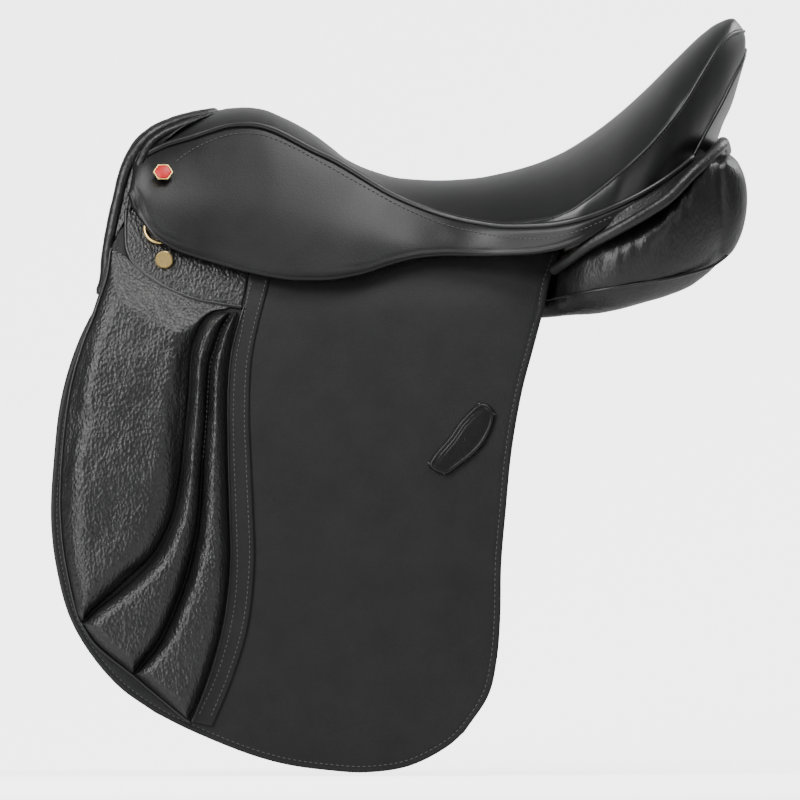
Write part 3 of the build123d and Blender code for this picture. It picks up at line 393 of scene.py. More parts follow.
def simple(name, color, rough=0.5, metal=0.0, bump=0.1, scale=300, var=0.15, coat=0.0):
    m, nt, b = mat_nodes(name)
    N, L = nt.nodes.new, nt.links.new
    co = N("ShaderNodeTexCoord").outputs["Object"]
    n = N("ShaderNodeTexNoise"); n.inputs["Scale"].default_value = scale; n.inputs["Detail"].default_value = 5; L(co, n.inputs["Vector"])
    r = N("ShaderNodeValToRGB"); L(n.outputs[0], r.inputs[0])
    r.color_ramp.elements[0].color = tuple(c * (1 - var) for c in color) + (1,)
    r.color_ramp.elements[1].color = tuple(min(1, c * (1 + var)) for c in color) + (1,)
    L(r.outputs[0], b.inputs["Base Color"])
    mr = N("ShaderNodeMapRange"); L(n.outputs[0], mr.inputs[0]); mr.inputs[3].default_value = rough * 0.8; mr.inputs[4].default_value = min(1, rough * 1.25)
    L(mr.outputs[0], b.inputs["Roughness"])
    b.inputs["Metallic"].default_value = metal; b.inputs["Coat Weight"].default_value = coat
    bp = N("ShaderNodeBump"); bp.inputs["Strength"].default_value = bump; bp.inputs["Distance"].default_value = 0.0004
    L(n.outputs[0], bp.inputs["Height"]); L(bp.outputs[0], b.inputs["Normal"])
    return m


def wood_mat():
    m, nt, b = mat_nodes("beech_wood")
    N, L = nt.nodes.new, nt.links.new
    co = N("ShaderNodeTexCoord").outputs["Object"]
    mp = N("ShaderNodeMapping"); mp.inputs["Scale"].default_value = (12, 160, 420); L(co, mp.inputs[0])
    n = N("ShaderNodeTexNoise"); n.inputs["Scale"].default_value = 1.2; n.inputs["Detail"].default_value = 8; L(mp.outputs[0], n.inputs["Vector"])
    r = N("ShaderNodeValToRGB"); L(n.outputs[0], r.inputs[0])
    r.color_ramp.elements[0].color = (0.42, 0.26, 0.13, 1); r.color_ramp.elements[1].color = (0.72, 0.53, 0.33, 1)
    L(r.outputs[0], b.inputs["Base Color"]); b.inputs["Roughness"].default_value = 0.45; b.inputs["Coat Weight"].default_value = 0.3
    bp = N("ShaderNodeBump"); bp.inputs["Strength"].default_value = 0.15; L(n.outputs[0], bp.inputs["Height"]); L(bp.outputs[0], b.inputs["Normal"])
    return m


M_SEAT = leather("leather_seat", 0.005, 0.34, "fine", 0.10, 1.0, 0.15, 0.08, spec=0.52)
M_SKIRT = leather("leather_skirt", 0.005, 0.38, "fine", 0.12, 1.0, 0.2, 0.03, spec=0.30)
M_FLAP = leather("leather_flap", 0.0085, 0.52, "fine", 0.22, 0.9, 0.18, 0.0, spec=0.30)
M_CALF = leather("leather_grained", 0.0085, 0.37, "coarse", 0.5, 1.15, 0.25, 0.04, wrinkle=0.15, spec=0.5)
M_PANEL = leather("leather_panel", 0.006, 0.40, "coarse", 0.22, 1.1, 0.2, 0.05, wrinkle=0.10, spec=0.45)
M_STRAP = leather("leather_strap", 0.0065, 0.42, "fine", 0.2, 0.8, 0.25, 0.05)
M_PIPE = leather("leather_piping", 0.004, 0.36, "fine", 0.12, 1.2, 0.15, 0.08, spec=0.5)
M_THREAD = simple("thread_grey", (0.062, 0.062, 0.064), 0.7, 0, 0.5, 2500, 0.25)
M_BRASS = simple("brass", (0.86, 0.62, 0.24), 0.34, 1.0, 0.08, 600, 0.12)
M_ENAMEL = simple("enamel_red", (0.50, 0.002, 0.004), 0.42, 0, 0.02, 200, 0.08, coat=0.0)
M_STEEL = simple("steel_forged", (0.62, 0.62, 0.63), 0.28, 1.0, 0.12, 500, 0.1)
M_SPRING = simple("steel_spring", (0.30, 0.30, 0.32), 0.4, 1.0, 0.2, 300, 0.2)
M_CANVAS = simple("canvas_web", (0.62, 0.57, 0.46), 0.9, 0, 0.6, 1400, 0.25)
M_FOAM = simple("seat_foam", (0.78, 0.75, 0.66), 0.95, 0, 0.7, 900, 0.15)
M_WOOD = wood_mat()


# --------------------------------------------------------------------------- geometry helpers
def coons(top, bottom, left, right, nu, nv):
    """Grid (nv, nu, 2) filling a four-sided outline; top/bottom run left to right, left/right top to bottom."""
    def res(path, n):
        P = smooth_path(path, 1.0) if len(path) > 2 else np.linspace(path[0], path[-1], 60)
        s = np.concatenate([[0], np.cumsum(np.linalg.norm(np.diff(P, axis=0), axis=1))])
        q = np.linspace(0, s[-1], n)
        return np.stack([np.interp(q, s, P[:, k]) for k in range(P.shape[1])], 1)
    T, B, L, R = res(top, nu), res(bottom, nu), res(left, nv), res(right, nv)
    u, v = np.linspace(0, 1, nu)[None, :, None], np.linspace(0, 1, nv)[:, None, None]
    G = (1 - v) * T[None] + v * B[None] + (1 - u) * L[:, None] + u * R[:, None]
    G -= (1 - u) * (1 - v) * T[0] + u * (1 - v) * T[-1] + (1 - u) * v * B[0] + u * v * B[-1]
    return G


def ease(n, p=1.6):
    """0..1 spaced more closely at both ends."""
    t = np.linspace(-1, 1, n)
    return 0.5 + 0.5 * np.sign(t) * (1 - (1 - np.abs(t)) ** p)


def regrid(G, nu, nv, p=1.6):
    """Re-spaces a grid so its lines bunch up near the borders."""
    v, u = ease(nv, p) * (G.shape[0] - 1), ease(nu, p) * (G.shape[1] - 1)
    i0 = np.clip(v.astype(int), 0, G.shape[0] - 2); a = (v - i0)[:, None, None]
    H = G[i0] * (1 - a) + G[i0 + 1] * a
    j0 = np.clip(u.astype(int), 0, G.shape[1] - 2); b = (u - j0)[None, :, None]
    return H[:, j0] * (1 - b) + H[:, j0 + 1] * b


def on_flap(G, lift, s):
    """(x, z) grid to (x, y, z) at a height above the flap's face."""
    X, Z = G[..., 0], G[..., 1]
    return np.stack([X, s * (F(Z) + lift), Z], -1)


def dome(d, width, height, power=0.5):
    t = np.clip(d / width, 0, 1)
    return height * (1 - (1 - t) ** 2) ** power


def grid_normals(A):
    du, dv = np.gradient(A, axis=1), np.gradient(A, axis=0)
    n = np.cross(du, dv); l = np.linalg.norm(n, axis=-1, keepdims=True); l[l < 1e-9] = 1
    return n / l


def relax(P, n=20, keep=1):
    P = P.copy()
    for _ in range(n):
        Q = P.copy(); Q[1:-1] = 0.5 * P[1:-1] + 0.25 * (P[:-2] + P[2:]); P = Q
    return P


def even(P, n):
    s = np.concatenate([[0], np.cumsum(np.linalg.norm(np.diff(P, axis=0), axis=1))])
    q = np.linspace(0, s[-1], n)
    return np.stack([np.interp(q, s, P[:, k]) for k in range(P.shape[1])], 1)


def loft(name, rings, mat, tip=1.0):
    """Closed solid through rings of equal length, ends closed with a soft cap."""
    rings = np.asarray(rings, float)
    a, b = rings[0], rings[-1]
    ca, cb = a.mean(0), b.mean(0)
    da, db = ca - rings[1].mean(0), cb - rings[-2].mean(0)
    da /= max(np.linalg.norm(da), 1e-6); db /= max(np.linalg.norm(db), 1e-6)
    if tip < 1: db = np.array([1.0, 0, 0]) * tip
    pre = [ca + (a - ca) * k + da * h for k, h in ((0.15, 2.6), (0.5, 2.3), (0.8, 1.4), (0.94, 0.6))]
    post = [cb + (b - cb) * k + db * h for k, h in ((0.94, 0.6), (0.8, 1.4), (0.5, 2.3), (0.15, 2.6))]
    R = np.vstack([np.array(pre), rings, np.array(post)])
    n, m = R.shape[:2]
    V = R.reshape(-1, 3) * MM
    Fc = [(i * m + k, i * m + (k + 1) % m, (i + 1) * m + (k + 1) % m, (i + 1) * m + k) for i in range(n - 1) for k in range(m)]
    Fc.append(tuple(reversed(range(m)))); Fc.append(tuple((n - 1) * m + k for k in range(m)))
    return new_obj(name, V, Fc, mat)


def mirror_path(P):
    P = np.array(P, float)
    Q = P[::-1].copy(); Q[:, 1] *= -1
    return np.vstack([Q[:-1], P]) if abs(P[0][1]) < 1e-6 else np.vstack([Q, P])


def inflate(ob, frames=20, pressure=3.5, cap=8.0, voxel=5.0, pin=None):
    me0 = ob.data.copy(); base = np.array([v.co[:] for v in ob.data.vertices])
    sim = bpy.data.objects.new(ob.name + "_sim", ob.data.copy()); bpy.context.scene.collection.objects.link(sim)
    m = sim.modifiers.new("remesh", "REMESH"); m.mode = "VOXEL"; m.voxel_size = voxel * MM
    bake(sim)
    rest = np.array([v.co[:] for v in sim.data.vertices])
    c = sim.modifiers.new("cloth", "CLOTH"); st = c.settings
    st.use_pressure = True; st.uniform_pressure_force = pressure; st.mass = 0.3; st.quality = 5
    st.tension_stiffness = 12; st.compression_stiffness = 12; st.shear_stiffness = 5; st.bending_stiffness = 0.4
    st.effector_weights.gravity = 0
    c.point_cache.frame_start = 1; c.point_cache.frame_end = frames
    sc = bpy.context.scene
    for f in range(1, frames + 1): sc.frame_set(f)
    dg = bpy.context.evaluated_depsgraph_get()
    ev = sim.evaluated_get(dg).to_mesh()
    moved = np.array([v.co[:] for v in ev.vertices]); sim.evaluated_get(dg).to_mesh_clear()
    d = moved - rest; l = np.linalg.norm(d, axis=1, keepdims=True)
    lim = cap * MM; d *= np.minimum(1.0, lim / np.maximum(l, 1e-9))
    from mathutils.kdtree import KDTree
    kd = KDTree(len(rest))
    for i, p in enumerate(rest): kd.insert(p, i)
    kd.balance()
    for v, p in zip(ob.data.vertices, base):
        near = kd.find_n(p, 6); w = np.array([1 / (x[2] + 1e-4) for x in near]); w /= w.sum()
        dd = sum(wi * d[x[1]] for wi, x in zip(w, near))
        k = 1.0 if pin is None else pin(p / MM)
        v.co = Vector(p + dd * k)
    ob.data.update(); sc.frame_set(1)
    bpy.data.objects.remove(sim, do_unlink=True)
    return ob


SIDES = (("left", -1), ("right", 1))
ROOT = "saddle"


def S(path, s):
    P = np.array(path, float); P[:, 1] *= s
    return P


# --------------------------------------------------------------------------- flaps
HEAD_TOP = [(-239.5, -46), (-232, -34), (-205, -25), (-175, -22), (-100.6, -28), (-26.1, -42), (33.5, -49), (91.6, -52)]
FRONT_EDGE = [(-239.5, -46), (-245.8, -62.6), (-249.6, -81.2), (-252.9, -95.4), (-258.5, -105.8), (-266.7, -123.7),
              (-274.9, -148.3), (-280.5, -174.3), (-284.6, -215.3), (-286.1, -237.7), (-286.1, -255.5), (-282.9, -283.8),
              (-272.9, -322.6), (-257.2, -350.9), (-234.7, -376.7), (-208.7, -395.2)]
LOW_EDGE = [(-208.7, -395.2), (-183.3, -408), (-137.5, -426.6), (-109, -434.3), (-78.2, -438.4), (-52.4, -439.9),
            (-19.4, -435.1), (8.8, -420.9), (22, -409.5)]
REAR_EDGE = [(91.6, -52), (92, -56.2), (85.6, -73.8), (81.2, -95.4), (79.3, -102), (73, -125.5), (65.2, -155), (57.4, -198.9),
             (52.7, -246.2), (49.5, -284.6), (48.7, -325.4), (46.2, -355.2), (40.1, -381.9), (22, -409.5)]
EDGE_LOOP = FRONT_EDGE + LOW_EDGE[1:] + REAR_EDGE[::-1][1:]

flap_grid = regrid(coons(HEAD_TOP, LOW_EDGE, FRONT_EDGE, REAR_EDGE, 200, 220), 110, 130, 1.35)
edge_path = smooth_path(EDGE_LOOP, 1.2)
flap_d = dist_to(flap_grid[..., 0], flap_grid[..., 1], edge_path[::3])

for side, s in SIDES:
    unit = side + "_flap_unit"
    X, Z = flap_grid[..., 0], flap_grid[..., 1]
    # a slight roll-off at the cut edge and a shallow sewing channel 4.5 mm inside it
    face = -0.9 * np.exp(-(flap_d / 0.9) ** 2) - 0.35 * np.exp(-((flap_d - 4.5) / 1.0) ** 2)
    wave = 0.5 * np.sin(X / 47.0 + 1.1) * np.sin(Z / 61.0) * np.clip(flap_d / 30, 0, 1)
    A = np.stack([X, s * (F(Z) + face + wave), Z], -1)
    B = np.stack([X, s * (F(Z) - 4.4 + wave + 0.5 * np.exp(-(flap_d / 0.9) ** 2)), Z], -1)
    flap = sheet(side + "_flap_hide", A, B, M_FLAP)
    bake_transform(flap)
    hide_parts(side + "_flap", side + "_flap_head")
    # border stitches
    inner = []
    P = smooth_path(EDGE_LOOP, 1.0)
    T = np.gradient(P, axis=0); T /= np.linalg.norm(T, axis=1)[:, None]
    Nn = np.stack([-T[:, 1], T[:, 0]], 1)
    Pin = P + Nn * 4.5 * (1 if (P[20] + Nn[20] * 5)[0] > P[20][0] else -1)
    for nm, lo, hi, body in (("upper", -93.5, 10, ROOT), ("lower", -500, -101.5, unit)):
        part = [(q[0], q[1]) for q in Pin if lo < q[1] < hi]
        # front run and rear run are separate above the hinge line
        runs = [part] if nm == "lower" else [[q for q in part if q[0] < 0], [q for q in part if q[0] > 0]]
        for k, run in enumerate(runs):
            if len(run) < 4: continue
            path = np.array([(x, s * (F(z) - 0.25), z) for x, z in run])
            st = stitches(f"{side}_flap_thread_{nm}_{k}", path, lambda m, s=s: (0, s, 0.35), M_THREAD, 2.5, 1.5, 0.36, 0.2)
            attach(st, body)

# --------------------------------------------------------------------------- knee pads, rolls, strips
PAD_BOT = [(-266.5, -322), (-262.5, -327.5), (-258.5, -322.5)]
pads = {
    "knee_pad": dict(top=[(-240.5, -50.5), (-233, -54), (-226, -58), (-220, -62), (-208, -72.5), (-191.3, -79.7), (-175.6, -86), (-160, -89.2), (-149.5, -91.5)],
                     left=[(-240.5, -50.5), (-243.6, -70.9), (-249.5, -89), (-253.6, -101.5), (-260.6, -118), (-270.3, -150.9), (-275.8, -187.7),
                           (-278.6, -229.5), (-278, -256.3), (-275, -282.4), (-266.5, -322)],
                     right=[(-149.5, -91.5), (-155.5, -95), (-162, -96), (-168, -98.4), (-172.4, -102.6), (-177.2, -112), (-180.5, -121), (-182.6, -133), (-184.2, -160.5),
                            (-186.9, -188), (-190.5, -222.8), (-196.3, -249.8), (-210, -277), (-231.5, -298), (-258.5, -322.5)],
                     bottom=PAD_BOT, width=15, height=12.5),
    "front_roll": dict(top=[(-170.8, -103.8), (-166.8, -99.9), (-161.7, -97.7), (-156, -96.9), (-152.4, -97.2)],
                       left=[(-170.8, -103.8), (-175.9, -112.5), (-179.1, -121), (-181.4, -133), (-182.7, -160.5),
                             (-185.5, -188), (-189.1, -222.8), (-194.9, -250.8), (-208.8, -278.9), (-230, -300.4), (-251.2, -317.8), (-262.4, -329.2)],
                       right=[(-152.4, -97.2), (-155.6, -102), (-160.6, -110.6), (-164.7, -123), (-168, -133.4), (-170, -154.2), (-171, -174.3), (-173.8, -208.6),
                              (-176.7, -251.3), (-183.7, -286.6), (-195.1, -319.2), (-206.5, -343.2), (-224.8, -366.7)],
                       bottom=[(-262.4, -329.2), (-252.4, -343.2), (-224.8, -366.7)], width=11, height=15),
    "rear_roll": dict(top=[(-150.9, -97), (-148.8, -96.8), (-146.6, -97.8)],
                      left=[(-150.9, -97), (-154.4, -102), (-159.4, -110.6), (-163.5, -123), (-166.8, -133.4), (-168.8, -154.2), (-169.8, -174.3),
                            (-172.6, -208.6), (-175.5, -251.3), (-182.6, -287), (-194, -319.8), (-205.5, -344.4), (-223.8, -367.2)],
                      right=[(-146.6, -97.8), (-150.4, -112.5), (-154.4, -133.4), (-156.1, -153.5), (-156.1, -201.9), (-154.8, -252.6), (-154.2, -279.7),
                             (-158.4, -322.4), (-167, -358), (-177, -386.2), (-184, -400.8)],
                      bottom=[(-223.8, -367.2), (-205.4, -383), (-184, -400.8)], width=9.5, height=13.5),
}


def bend(ob):
    """Bakes the object's transform into its mesh."""
    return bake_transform(ob)


for side, s in SIDES:
    unit = side + "_flap_unit"
    for nm, p in pads.items():
        big = nm == "knee_pad"
        G = regrid(coons(p["top"], p["bottom"], p["left"], p["right"], 90, 260), 50 if big else 30, 140, 1.8)
        X, Z = G[..., 0], G[..., 1]
        sides_ = np.vstack([smooth_path(p["left"], 2), smooth_path(p["bottom"], 2), smooth_path(p["right"], 2)[::-1]])
        top_ = smooth_path(p["top"], 1.5)
        d, dt = dist_to(X, Z, sides_), dist_to(X, Z, top_)
        if big:
            h = dome(d, p["width"], p["height"], 0.55) * (0.80 + 0.20 * np.clip((-Z - 100) / 120, 0, 1))
            rise = np.clip(dt / 46, 0, 1); rise = rise * rise * (3 - 2 * rise)
            h = np.minimum(h, 1.7 * (1 - np.exp(-dt / 1.2)) + 11.5 * rise)
            low = np.clip(np.minimum(d, dt) / 22, 0, 1)
            h = h + low * (1.5 * noise(X, Z * 0, Z, 36, 3) + 0.7 * noise(X, Z * 0, Z, 13, 7))
            # drag lines running down from the pocket towards the roll
            drag = np.exp(-((dt - 14) / 12) ** 2) * np.clip((X + 225) / 25, 0, 1)
            h = h + 0.30 * low * drag * np.sin((X * 0.8 + Z * 0.6) / 1.5)
        else:
            h = dome(d, p["width"], p["height"], 0.6)
            h = np.minimum(h, 3.0 + dome(dt, 16, p["height"] - 3.0, 0.6)) * np.clip(dt / 1.5, 0, 1) ** 0.5
            along = np.linspace(0, 1, X.shape[0])[:, None]
            h = h + np.clip(np.minimum(d, dt) / 6, 0, 1) * (0.22 * np.sin((X * 0.55 + Z) / 1.35 + 1.5 * np.sin(Z / 17)) * np.clip(1.15 - along * 1.6, 0.1, 1) + 0.9 * noise(X, Z * 0, Z, 24, 5))
        pad = sheet(f"{side}_{nm}_cover", on_flap(G, 0.3 + np.maximum(h, 0.02), s), on_flap(G, -0.6, s), M_CALF)
        inflate(pad, pressure=2.5, cap=5.0 if big else 3.0, voxel=4.5,
                pin=lambda q: 0.6 * float(np.clip((abs(q[1]) - F(q[2]) - 1.5) / 5.0, 0, 1)) * float(np.clip((-100 - q[2]) / 30, 0, 1)))
        bend(pad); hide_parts(side + "_" + nm)
    # piped seam under the pads, and fine piping down the front
    P = smooth_path(LOWSEAM, 2.0)
    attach(tube(f"{side}_pad_piping_low", [(x, s * (F(z) + 1.1), z) for x, z in P], 1.5, M_PIPE, 10), unit)
    P = smooth_path([(-241.5, -50), (-244.6, -70.9), (-250.4, -89), (-254.5, -101.2), (-261.3, -118), (-270.9, -150.9), (-276.4, -187.7), (-279.2, -229.5), (-278.6, -256.3),
                     (-275.6, -282.4), (-266.5, -322.5), (-263.7, -328.9)], 2.0)
    bend(tube(f"{side}_pad_piping_front", [(x, s * (F(z) + 0.9), z) for x, z in P], 1.2, M_PIPE, 10))
    # stitches sunk along the inner roll's groove
    P = smooth_path([(-152.2, -98.5), (-155.6, -103), (-160.5, -111.5), (-164.6, -124), (-167.8, -134), (-169.9, -155), (-171, -174.3), (-173.8, -208.6)], 0.8)
    st = stitches(f"{side}_roll_thread", [(x + 0.8, s * (F(z) + 4.2), z) for x, z in P], lambda m, s=s: (0, s, 0.2), M_THREAD, 2.2, 1.6, 0.34, 0.2)
    bend(st)
    # raised strip behind the rolls, double stitched
    SL = [(-138.5, -66), (-140.5, -80), (-142.6, -92), (-146.2, -103), (-152.2, -125.9), (-154.9, -153.5), (-154.9, -201.9), (-153.6, -252.6), (-153, -279.7), (-157.2, -322.6),
          (-165.8, -358.1), (-175.8, -386.7), (-182, -402)]
    SR = [(-121.5, -66), (-124.5, -80), (-131, -105), (-136.4, -133), (-138.2, -174.3), (-137, -207.9), (-135.6, -243.2), (-134.5, -282), (-139.4, -331), (-151, -370), (-165.5, -405.5)]
    G = regrid(coons([(-138.5, -66), (-130, -66), (-121.5, -66)], [(-182, -402), (-174, -404), (-165.5, -405.5)], SL, SR, 40, 220), 16, 140, 1.8)
    loop = np.vstack([G[0], G[:, -1], G[-1][::-1], G[::-1, 0]])
    d = dist_to(G[..., 0], G[..., 1], loop[::2])
    strip_ = sheet(side + "_stitched_strip", on_flap(G, 0.3 + dome(d, 1.8, 1.9), s), on_flap(G, -0.5, s), M_FLAP)
    bend(strip_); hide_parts(side + "_flap_strip")
    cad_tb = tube(f"{side}_strip_piping", [(x + 1.0, s * (F(z) + 2.1), z) for x, z in smooth_path(SL[2:], 2.0)], 1.0, M_PIPE, 8)
    bend(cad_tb)
    for k, row in enumerate(([(-136.5, -74)] + [(-140, -88)] + ROWA[1:], [(-125.5, -72)] + ROWB)):
        P = smooth_path(row, 0.8)
        st = stitches(f"{side}_strip_thread_{k}", [(x, s * (F(z) + 2.25), z) for x, z in P], lambda m, s=s: (0, s, 0.2), M_THREAD, 2.4, 1.4, 0.42, 0.2)
        bend(st)
    # slotted keeper tab
    K = smooth_path(KEEPER, 1.6, closed=True)
    c = K.mean(0)
    ts = 1 - ease(22, 1.3) * 0.97
    G = np.array([c + (K - c) * t for t in ts])
    d = dist_to(G[..., 0], G[..., 1], np.vstack([K, K[:1]]))
    h = 0.3 + dome(d, 2.0, 3.2) - 0.75 * np.exp(-((d - 3.4) / 0.55) ** 2) - 0.45 * np.exp(-((d - 5.4) / 0.5) ** 2)
    keeper = sheet(side + "_keeper_tab", on_flap(G, h, s), on_flap(G, -0.5, s), M_SKIRT, wrap=True)
    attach(keeper, unit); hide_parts(side + "_keeper")
    ax = np.array([31.5, 46.5]); ax = ax / np.linalg.norm(ax); pr = np.array([ax[1], -ax[0]])
    for k, at_ in enumerate(((38.5, -169.5), (1.0, -213.5))):
        L = [np.array(at_) + pr * w for w in np.linspace(-7.5, 7.5, 15)]
        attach(tube(f"{side}_keeper_slot_{k}", [(q[0], s * (F(q[1]) + 2.3), q[1]) for q in L], 0.9, M_PIPE, 8), unit)

# --------------------------------------------------------------------------- skirts
def skirt_line(x, n=34):
    yt, zt, yh, zh, yl, zl = SK(x)
    zl = float(np.interp(x, [q[0] for q in SKIRT_LOW], [q[1] for q in SKIRT_LOW]))
    top = np.array([float(WELT_Y(x)) + 1.0, float(WELT_Z(x)) - 1.2])
    P = even(np.array([top, (yt, zt), (yh, zh), (yl, zl)]), n)
    return relax(P, 26)


sx = np.concatenate([np.linspace(-225.4, -190, 16)[:-1], np.linspace(-190, 170, 92)[:-1], np.linspace(170, 191.2, 12)])
rows = np.array([[(x, *p) for p in skirt_line(x)] for x in sx])            # (nx, n, 3)
rows = rows.transpose(1, 0, 2)                                              # rows top to hem
for _ in range(3):
    rows[:, 1:-1, 1:] = 0.5 * rows[:, 1:-1, 1:] + 0.25 * (rows[:, :-2, 1:] + rows[:, 2:, 1:])
for side, s in SIDES:
    A0 = rows.copy()
    N_ = grid_normals(A0); N_ *= np.sign(N_[..., 1:2] + 1e-9)
    hem = dist_to(A0[..., 0], A0[..., 2], A0[-1][:, [0, 2]])
    A0 = A0 - N_ * (0.8 * np.exp(-(hem / 0.9) ** 2) + 0.3 * np.exp(-((hem - 4.2) / 0.9) ** 2))[..., None]
    # pared thinner where the dee swings behind it
    pare = 1.5 * np.exp(-((A0[..., 0] + 205) / 14) ** 2) * np.clip((-14 - A0[..., 2]) / 8, 0, 1)
    B0 = A0 - N_ * (3.2 - pare)[..., None]
    A0[..., 1] *= s; B0[..., 1] *= s
    skirt = sheet(side + "_skirt_hide", A0, B0, M_SKIRT)
    p = np.array([-0.108, s * 0.1026, -0.0303]); n = np.array([0.185, 0, 0.983])
    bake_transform(skirt)
    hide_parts(side + "_skirt", side + "_skirt_top")
SKX = sx


def skirt_y(x, z):
    """|y| of the skirt's face at (x, z)."""
    j = np.clip(np.searchsorted(SKX, x), 1, len(SKX) - 1)
    a = (x - SKX[j - 1]) / (SKX[j] - SKX[j - 1])
    c0, c1 = rows[:, j - 1], rows[:, j]
    def rd(c):
        o = np.argsort(c[:, 2]); return np.interp(z, c[o, 2], c[o, 1])
    return (1 - a) * rd(c0) + a * rd(c1)


SK_STITCH = [(-193.7, 13.9), (-181, 22.9), (-166.1, 30.1), (-152.7, 34.4), (-137.8, 35.3), (-125.9, 33.5), (-107.3, 26.0),
             (-89.4, 16.6), (-70.8, 6.2), (-49.9, -5.5), (-29.8, -16.6), (-11.2, -25.2), (11.2, -33.6), (33.5, -38.4),
             (55.9, -41.7), (82, -42.3), (104.3, -37.5), (122.9, -30), (132.6, -25.5)]
for side, s in SIDES:
    P = smooth_path(SK_STITCH, 0.7)
    path = np.array([(x, s * (skirt_y(x, z) + 0.15), z) for x, z in P])
    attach(stitches(side + "_skirt_thread", path, lambda m, s=s: (0, s * 0.8, 0.6), M_THREAD, 2.4, 1.4, 0.42, 0.3), ROOT)

# --------------------------------------------------------------------------- seat
FRONT_V = [(-214, 63), (-210, 60.3), (-199, 55), (-186, 47), (-174, 37), (-163, 24), (-156, 11), (-152, 0)]
fvx, fvy = np.array([q[0] for q in FRONT_V], float), np.array([q[1] for q in FRONT_V], float)


def front_x(u):
    g = np.linspace(-212, -152, 400)
    return float(g[np.argmin(np.abs(np.interp(g, fvx, fvy) - abs(u) * EDGE_Y(g)))])


nu, nt = 71, 150
us = np.sign(np.linspace(-1, 1, nu)) * (1 - (1 - np.abs(np.linspace(-1, 1, nu))) ** 1.35)
tt = np.linspace(0, 1, nt); tt = 0.12 * tt + 0.88 * (1 - (1 - tt) ** 1.5)
x0s = relax(np.array([[front_x(u)] for u in us]), 3)[:, 0]
END = 230.0
top = np.zeros((nt, nu, 3))
for j, u in enumerate(us):
    x = x0s[j] + (END - x0s[j]) * tt
    ey, ez, sz = EDGE_Y(x), EDGE_Z(x), SEAT_Z(x)
    k = np.clip((END + 0.3 - x) / 7.0, 0, 1) ** 0.5
    z = ez + (sz - ez) * k * (1 - abs(u) ** 2.3)
    top[:, j] = np.stack([x, u * ey, z], 1)
N_ = grid_normals(top); N_ *= np.sign(N_[..., 2:3] + 1e-9)
ed = (1 - np.abs(us))[None, :] * np.maximum(EDGE_Y(top[..., 0]), 1)
# a soft roll-off at the border, faint tension folds running to the welt at the waist
fold_ = 0.35 * np.sin(top[..., 0] / 3.1 + 3 * np.abs(us)[None]) * np.exp(-((top[..., 0] + 60) / 34) ** 2) * np.exp(-(ed - 8) ** 2 / 90)
A0 = top + N_ * (fold_ - 1.0 * np.exp(-(ed / 1.6) ** 2))[..., None]
seat = sheet("seat_top", A0, A0 - N_ * 2.2 + np.array([0, 0, -0.2]), M_SEAT)
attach(seat, ROOT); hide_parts("seat_cover")
FM = top - N_ * 3.2
FM = FM[6:-10]
low = FM.copy(); low[..., 2] -= 9.8 * (1 - np.abs(us)[None] ** 4)
keepu = slice(5, nu - 5)
foam = sheet("seat_cushion", FM[:, keepu], low[:, keepu] - np.array([0, 0, 0.6]), M_FOAM)
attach(foam, ROOT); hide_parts("seat_foam")

# side panels under the crease, and round to the cantle seam
ex = np.concatenate([np.linspace(70, 196.5, 60), np.linspace(196.5, 230.2, 40)[1:]])
E_ = np.stack([ex, EDGE_Y(ex), EDGE_Z(ex)], 1)
wx = np.linspace(70, 191.6, 60)
W_ = np.stack([wx, WELT_Y(wx), WELT_Z(wx)], 1)
sz_ = np.array([(x, y, z) for z, x, y in [(18.3, 192.2, 86), (36.5, 201.9, 72), (55.7, 212.5, 57), (72.9, 221.1, 40), (89.9, 229.7, 15), (97, 231.2, 3)]], float)
seam_line = smooth_path(sz_, 1.0)
W_ = np.vstack([W_, even(seam_line, 40)[1:]])
E2 = np.vstack([even(E_[:60], 60), even(E_[59:], 40)[1:]])
W2 = np.vstack([even(W_[:60], 60), W_[60:]])
nv = 30
vv = ease(nv, 1.4)[:, None, None]
panel_side = (1 - vv) * E2[None] + vv * W2[None]
gap = np.linalg.norm(E2 - W2, axis=1)[None, :, None]
N2 = grid_normals(panel_side); N2 *= np.sign(N2[..., 1:2] + 1e-9)
N2[~np.isfinite(N2)] = 0
panel_side += N2 * (4 * vv * (1 - vv)) * np.minimum(gap, 60) * 0.055
for side, s in SIDES:
    A0, B0 = panel_side.copy(), panel_side - N2 * 2.2
    A0[..., 1] *= s; B0[..., 1] *= s
    sp = sheet(side + "_seat_side_leather", A0, B0, M_SEAT)
    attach(sp, ROOT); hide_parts(side + "_seat_side")
    # crease piping: under the cantle edge, fading into the welt at the waist
    cp = even(E2[6:], 120)
    tb = tube(side + "_crease_piping", S(cp, s), np.interp(np.arange(120), [0, 25, 119], [0.6, 1.25, 1.25]), M_PIPE, 10)
    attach(tb, ROOT)
    tb = tube(side + "_cantle_piping", S(even(seam_line, 60), s), 1.5, M_PIPE, 10)
    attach(tb, ROOT)
    # welt
    wxs = np.linspace(-216, 191.6, 150)
    wp = np.stack([wxs, s * (WELT_Y(wxs) + 0.3), WELT_Z(wxs) + 0.2], 1)
    tb = tube(side + "_welt_piping", relax(wp, 4), 2.35, M_PIPE, 14)
    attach(tb, ROOT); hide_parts(side + "_seat_welt")
    # stitches beside the crease
    st_ = panel_side[3]
    st = stitches(side + "_crease_thread", S(smooth_path(st_[4:-8], 1.0), s), lambda m, s=s: (0.2, s, 0.2), M_THREAD, 2.2, 1.5, 0.3, 0.35)
    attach(st, ROOT)

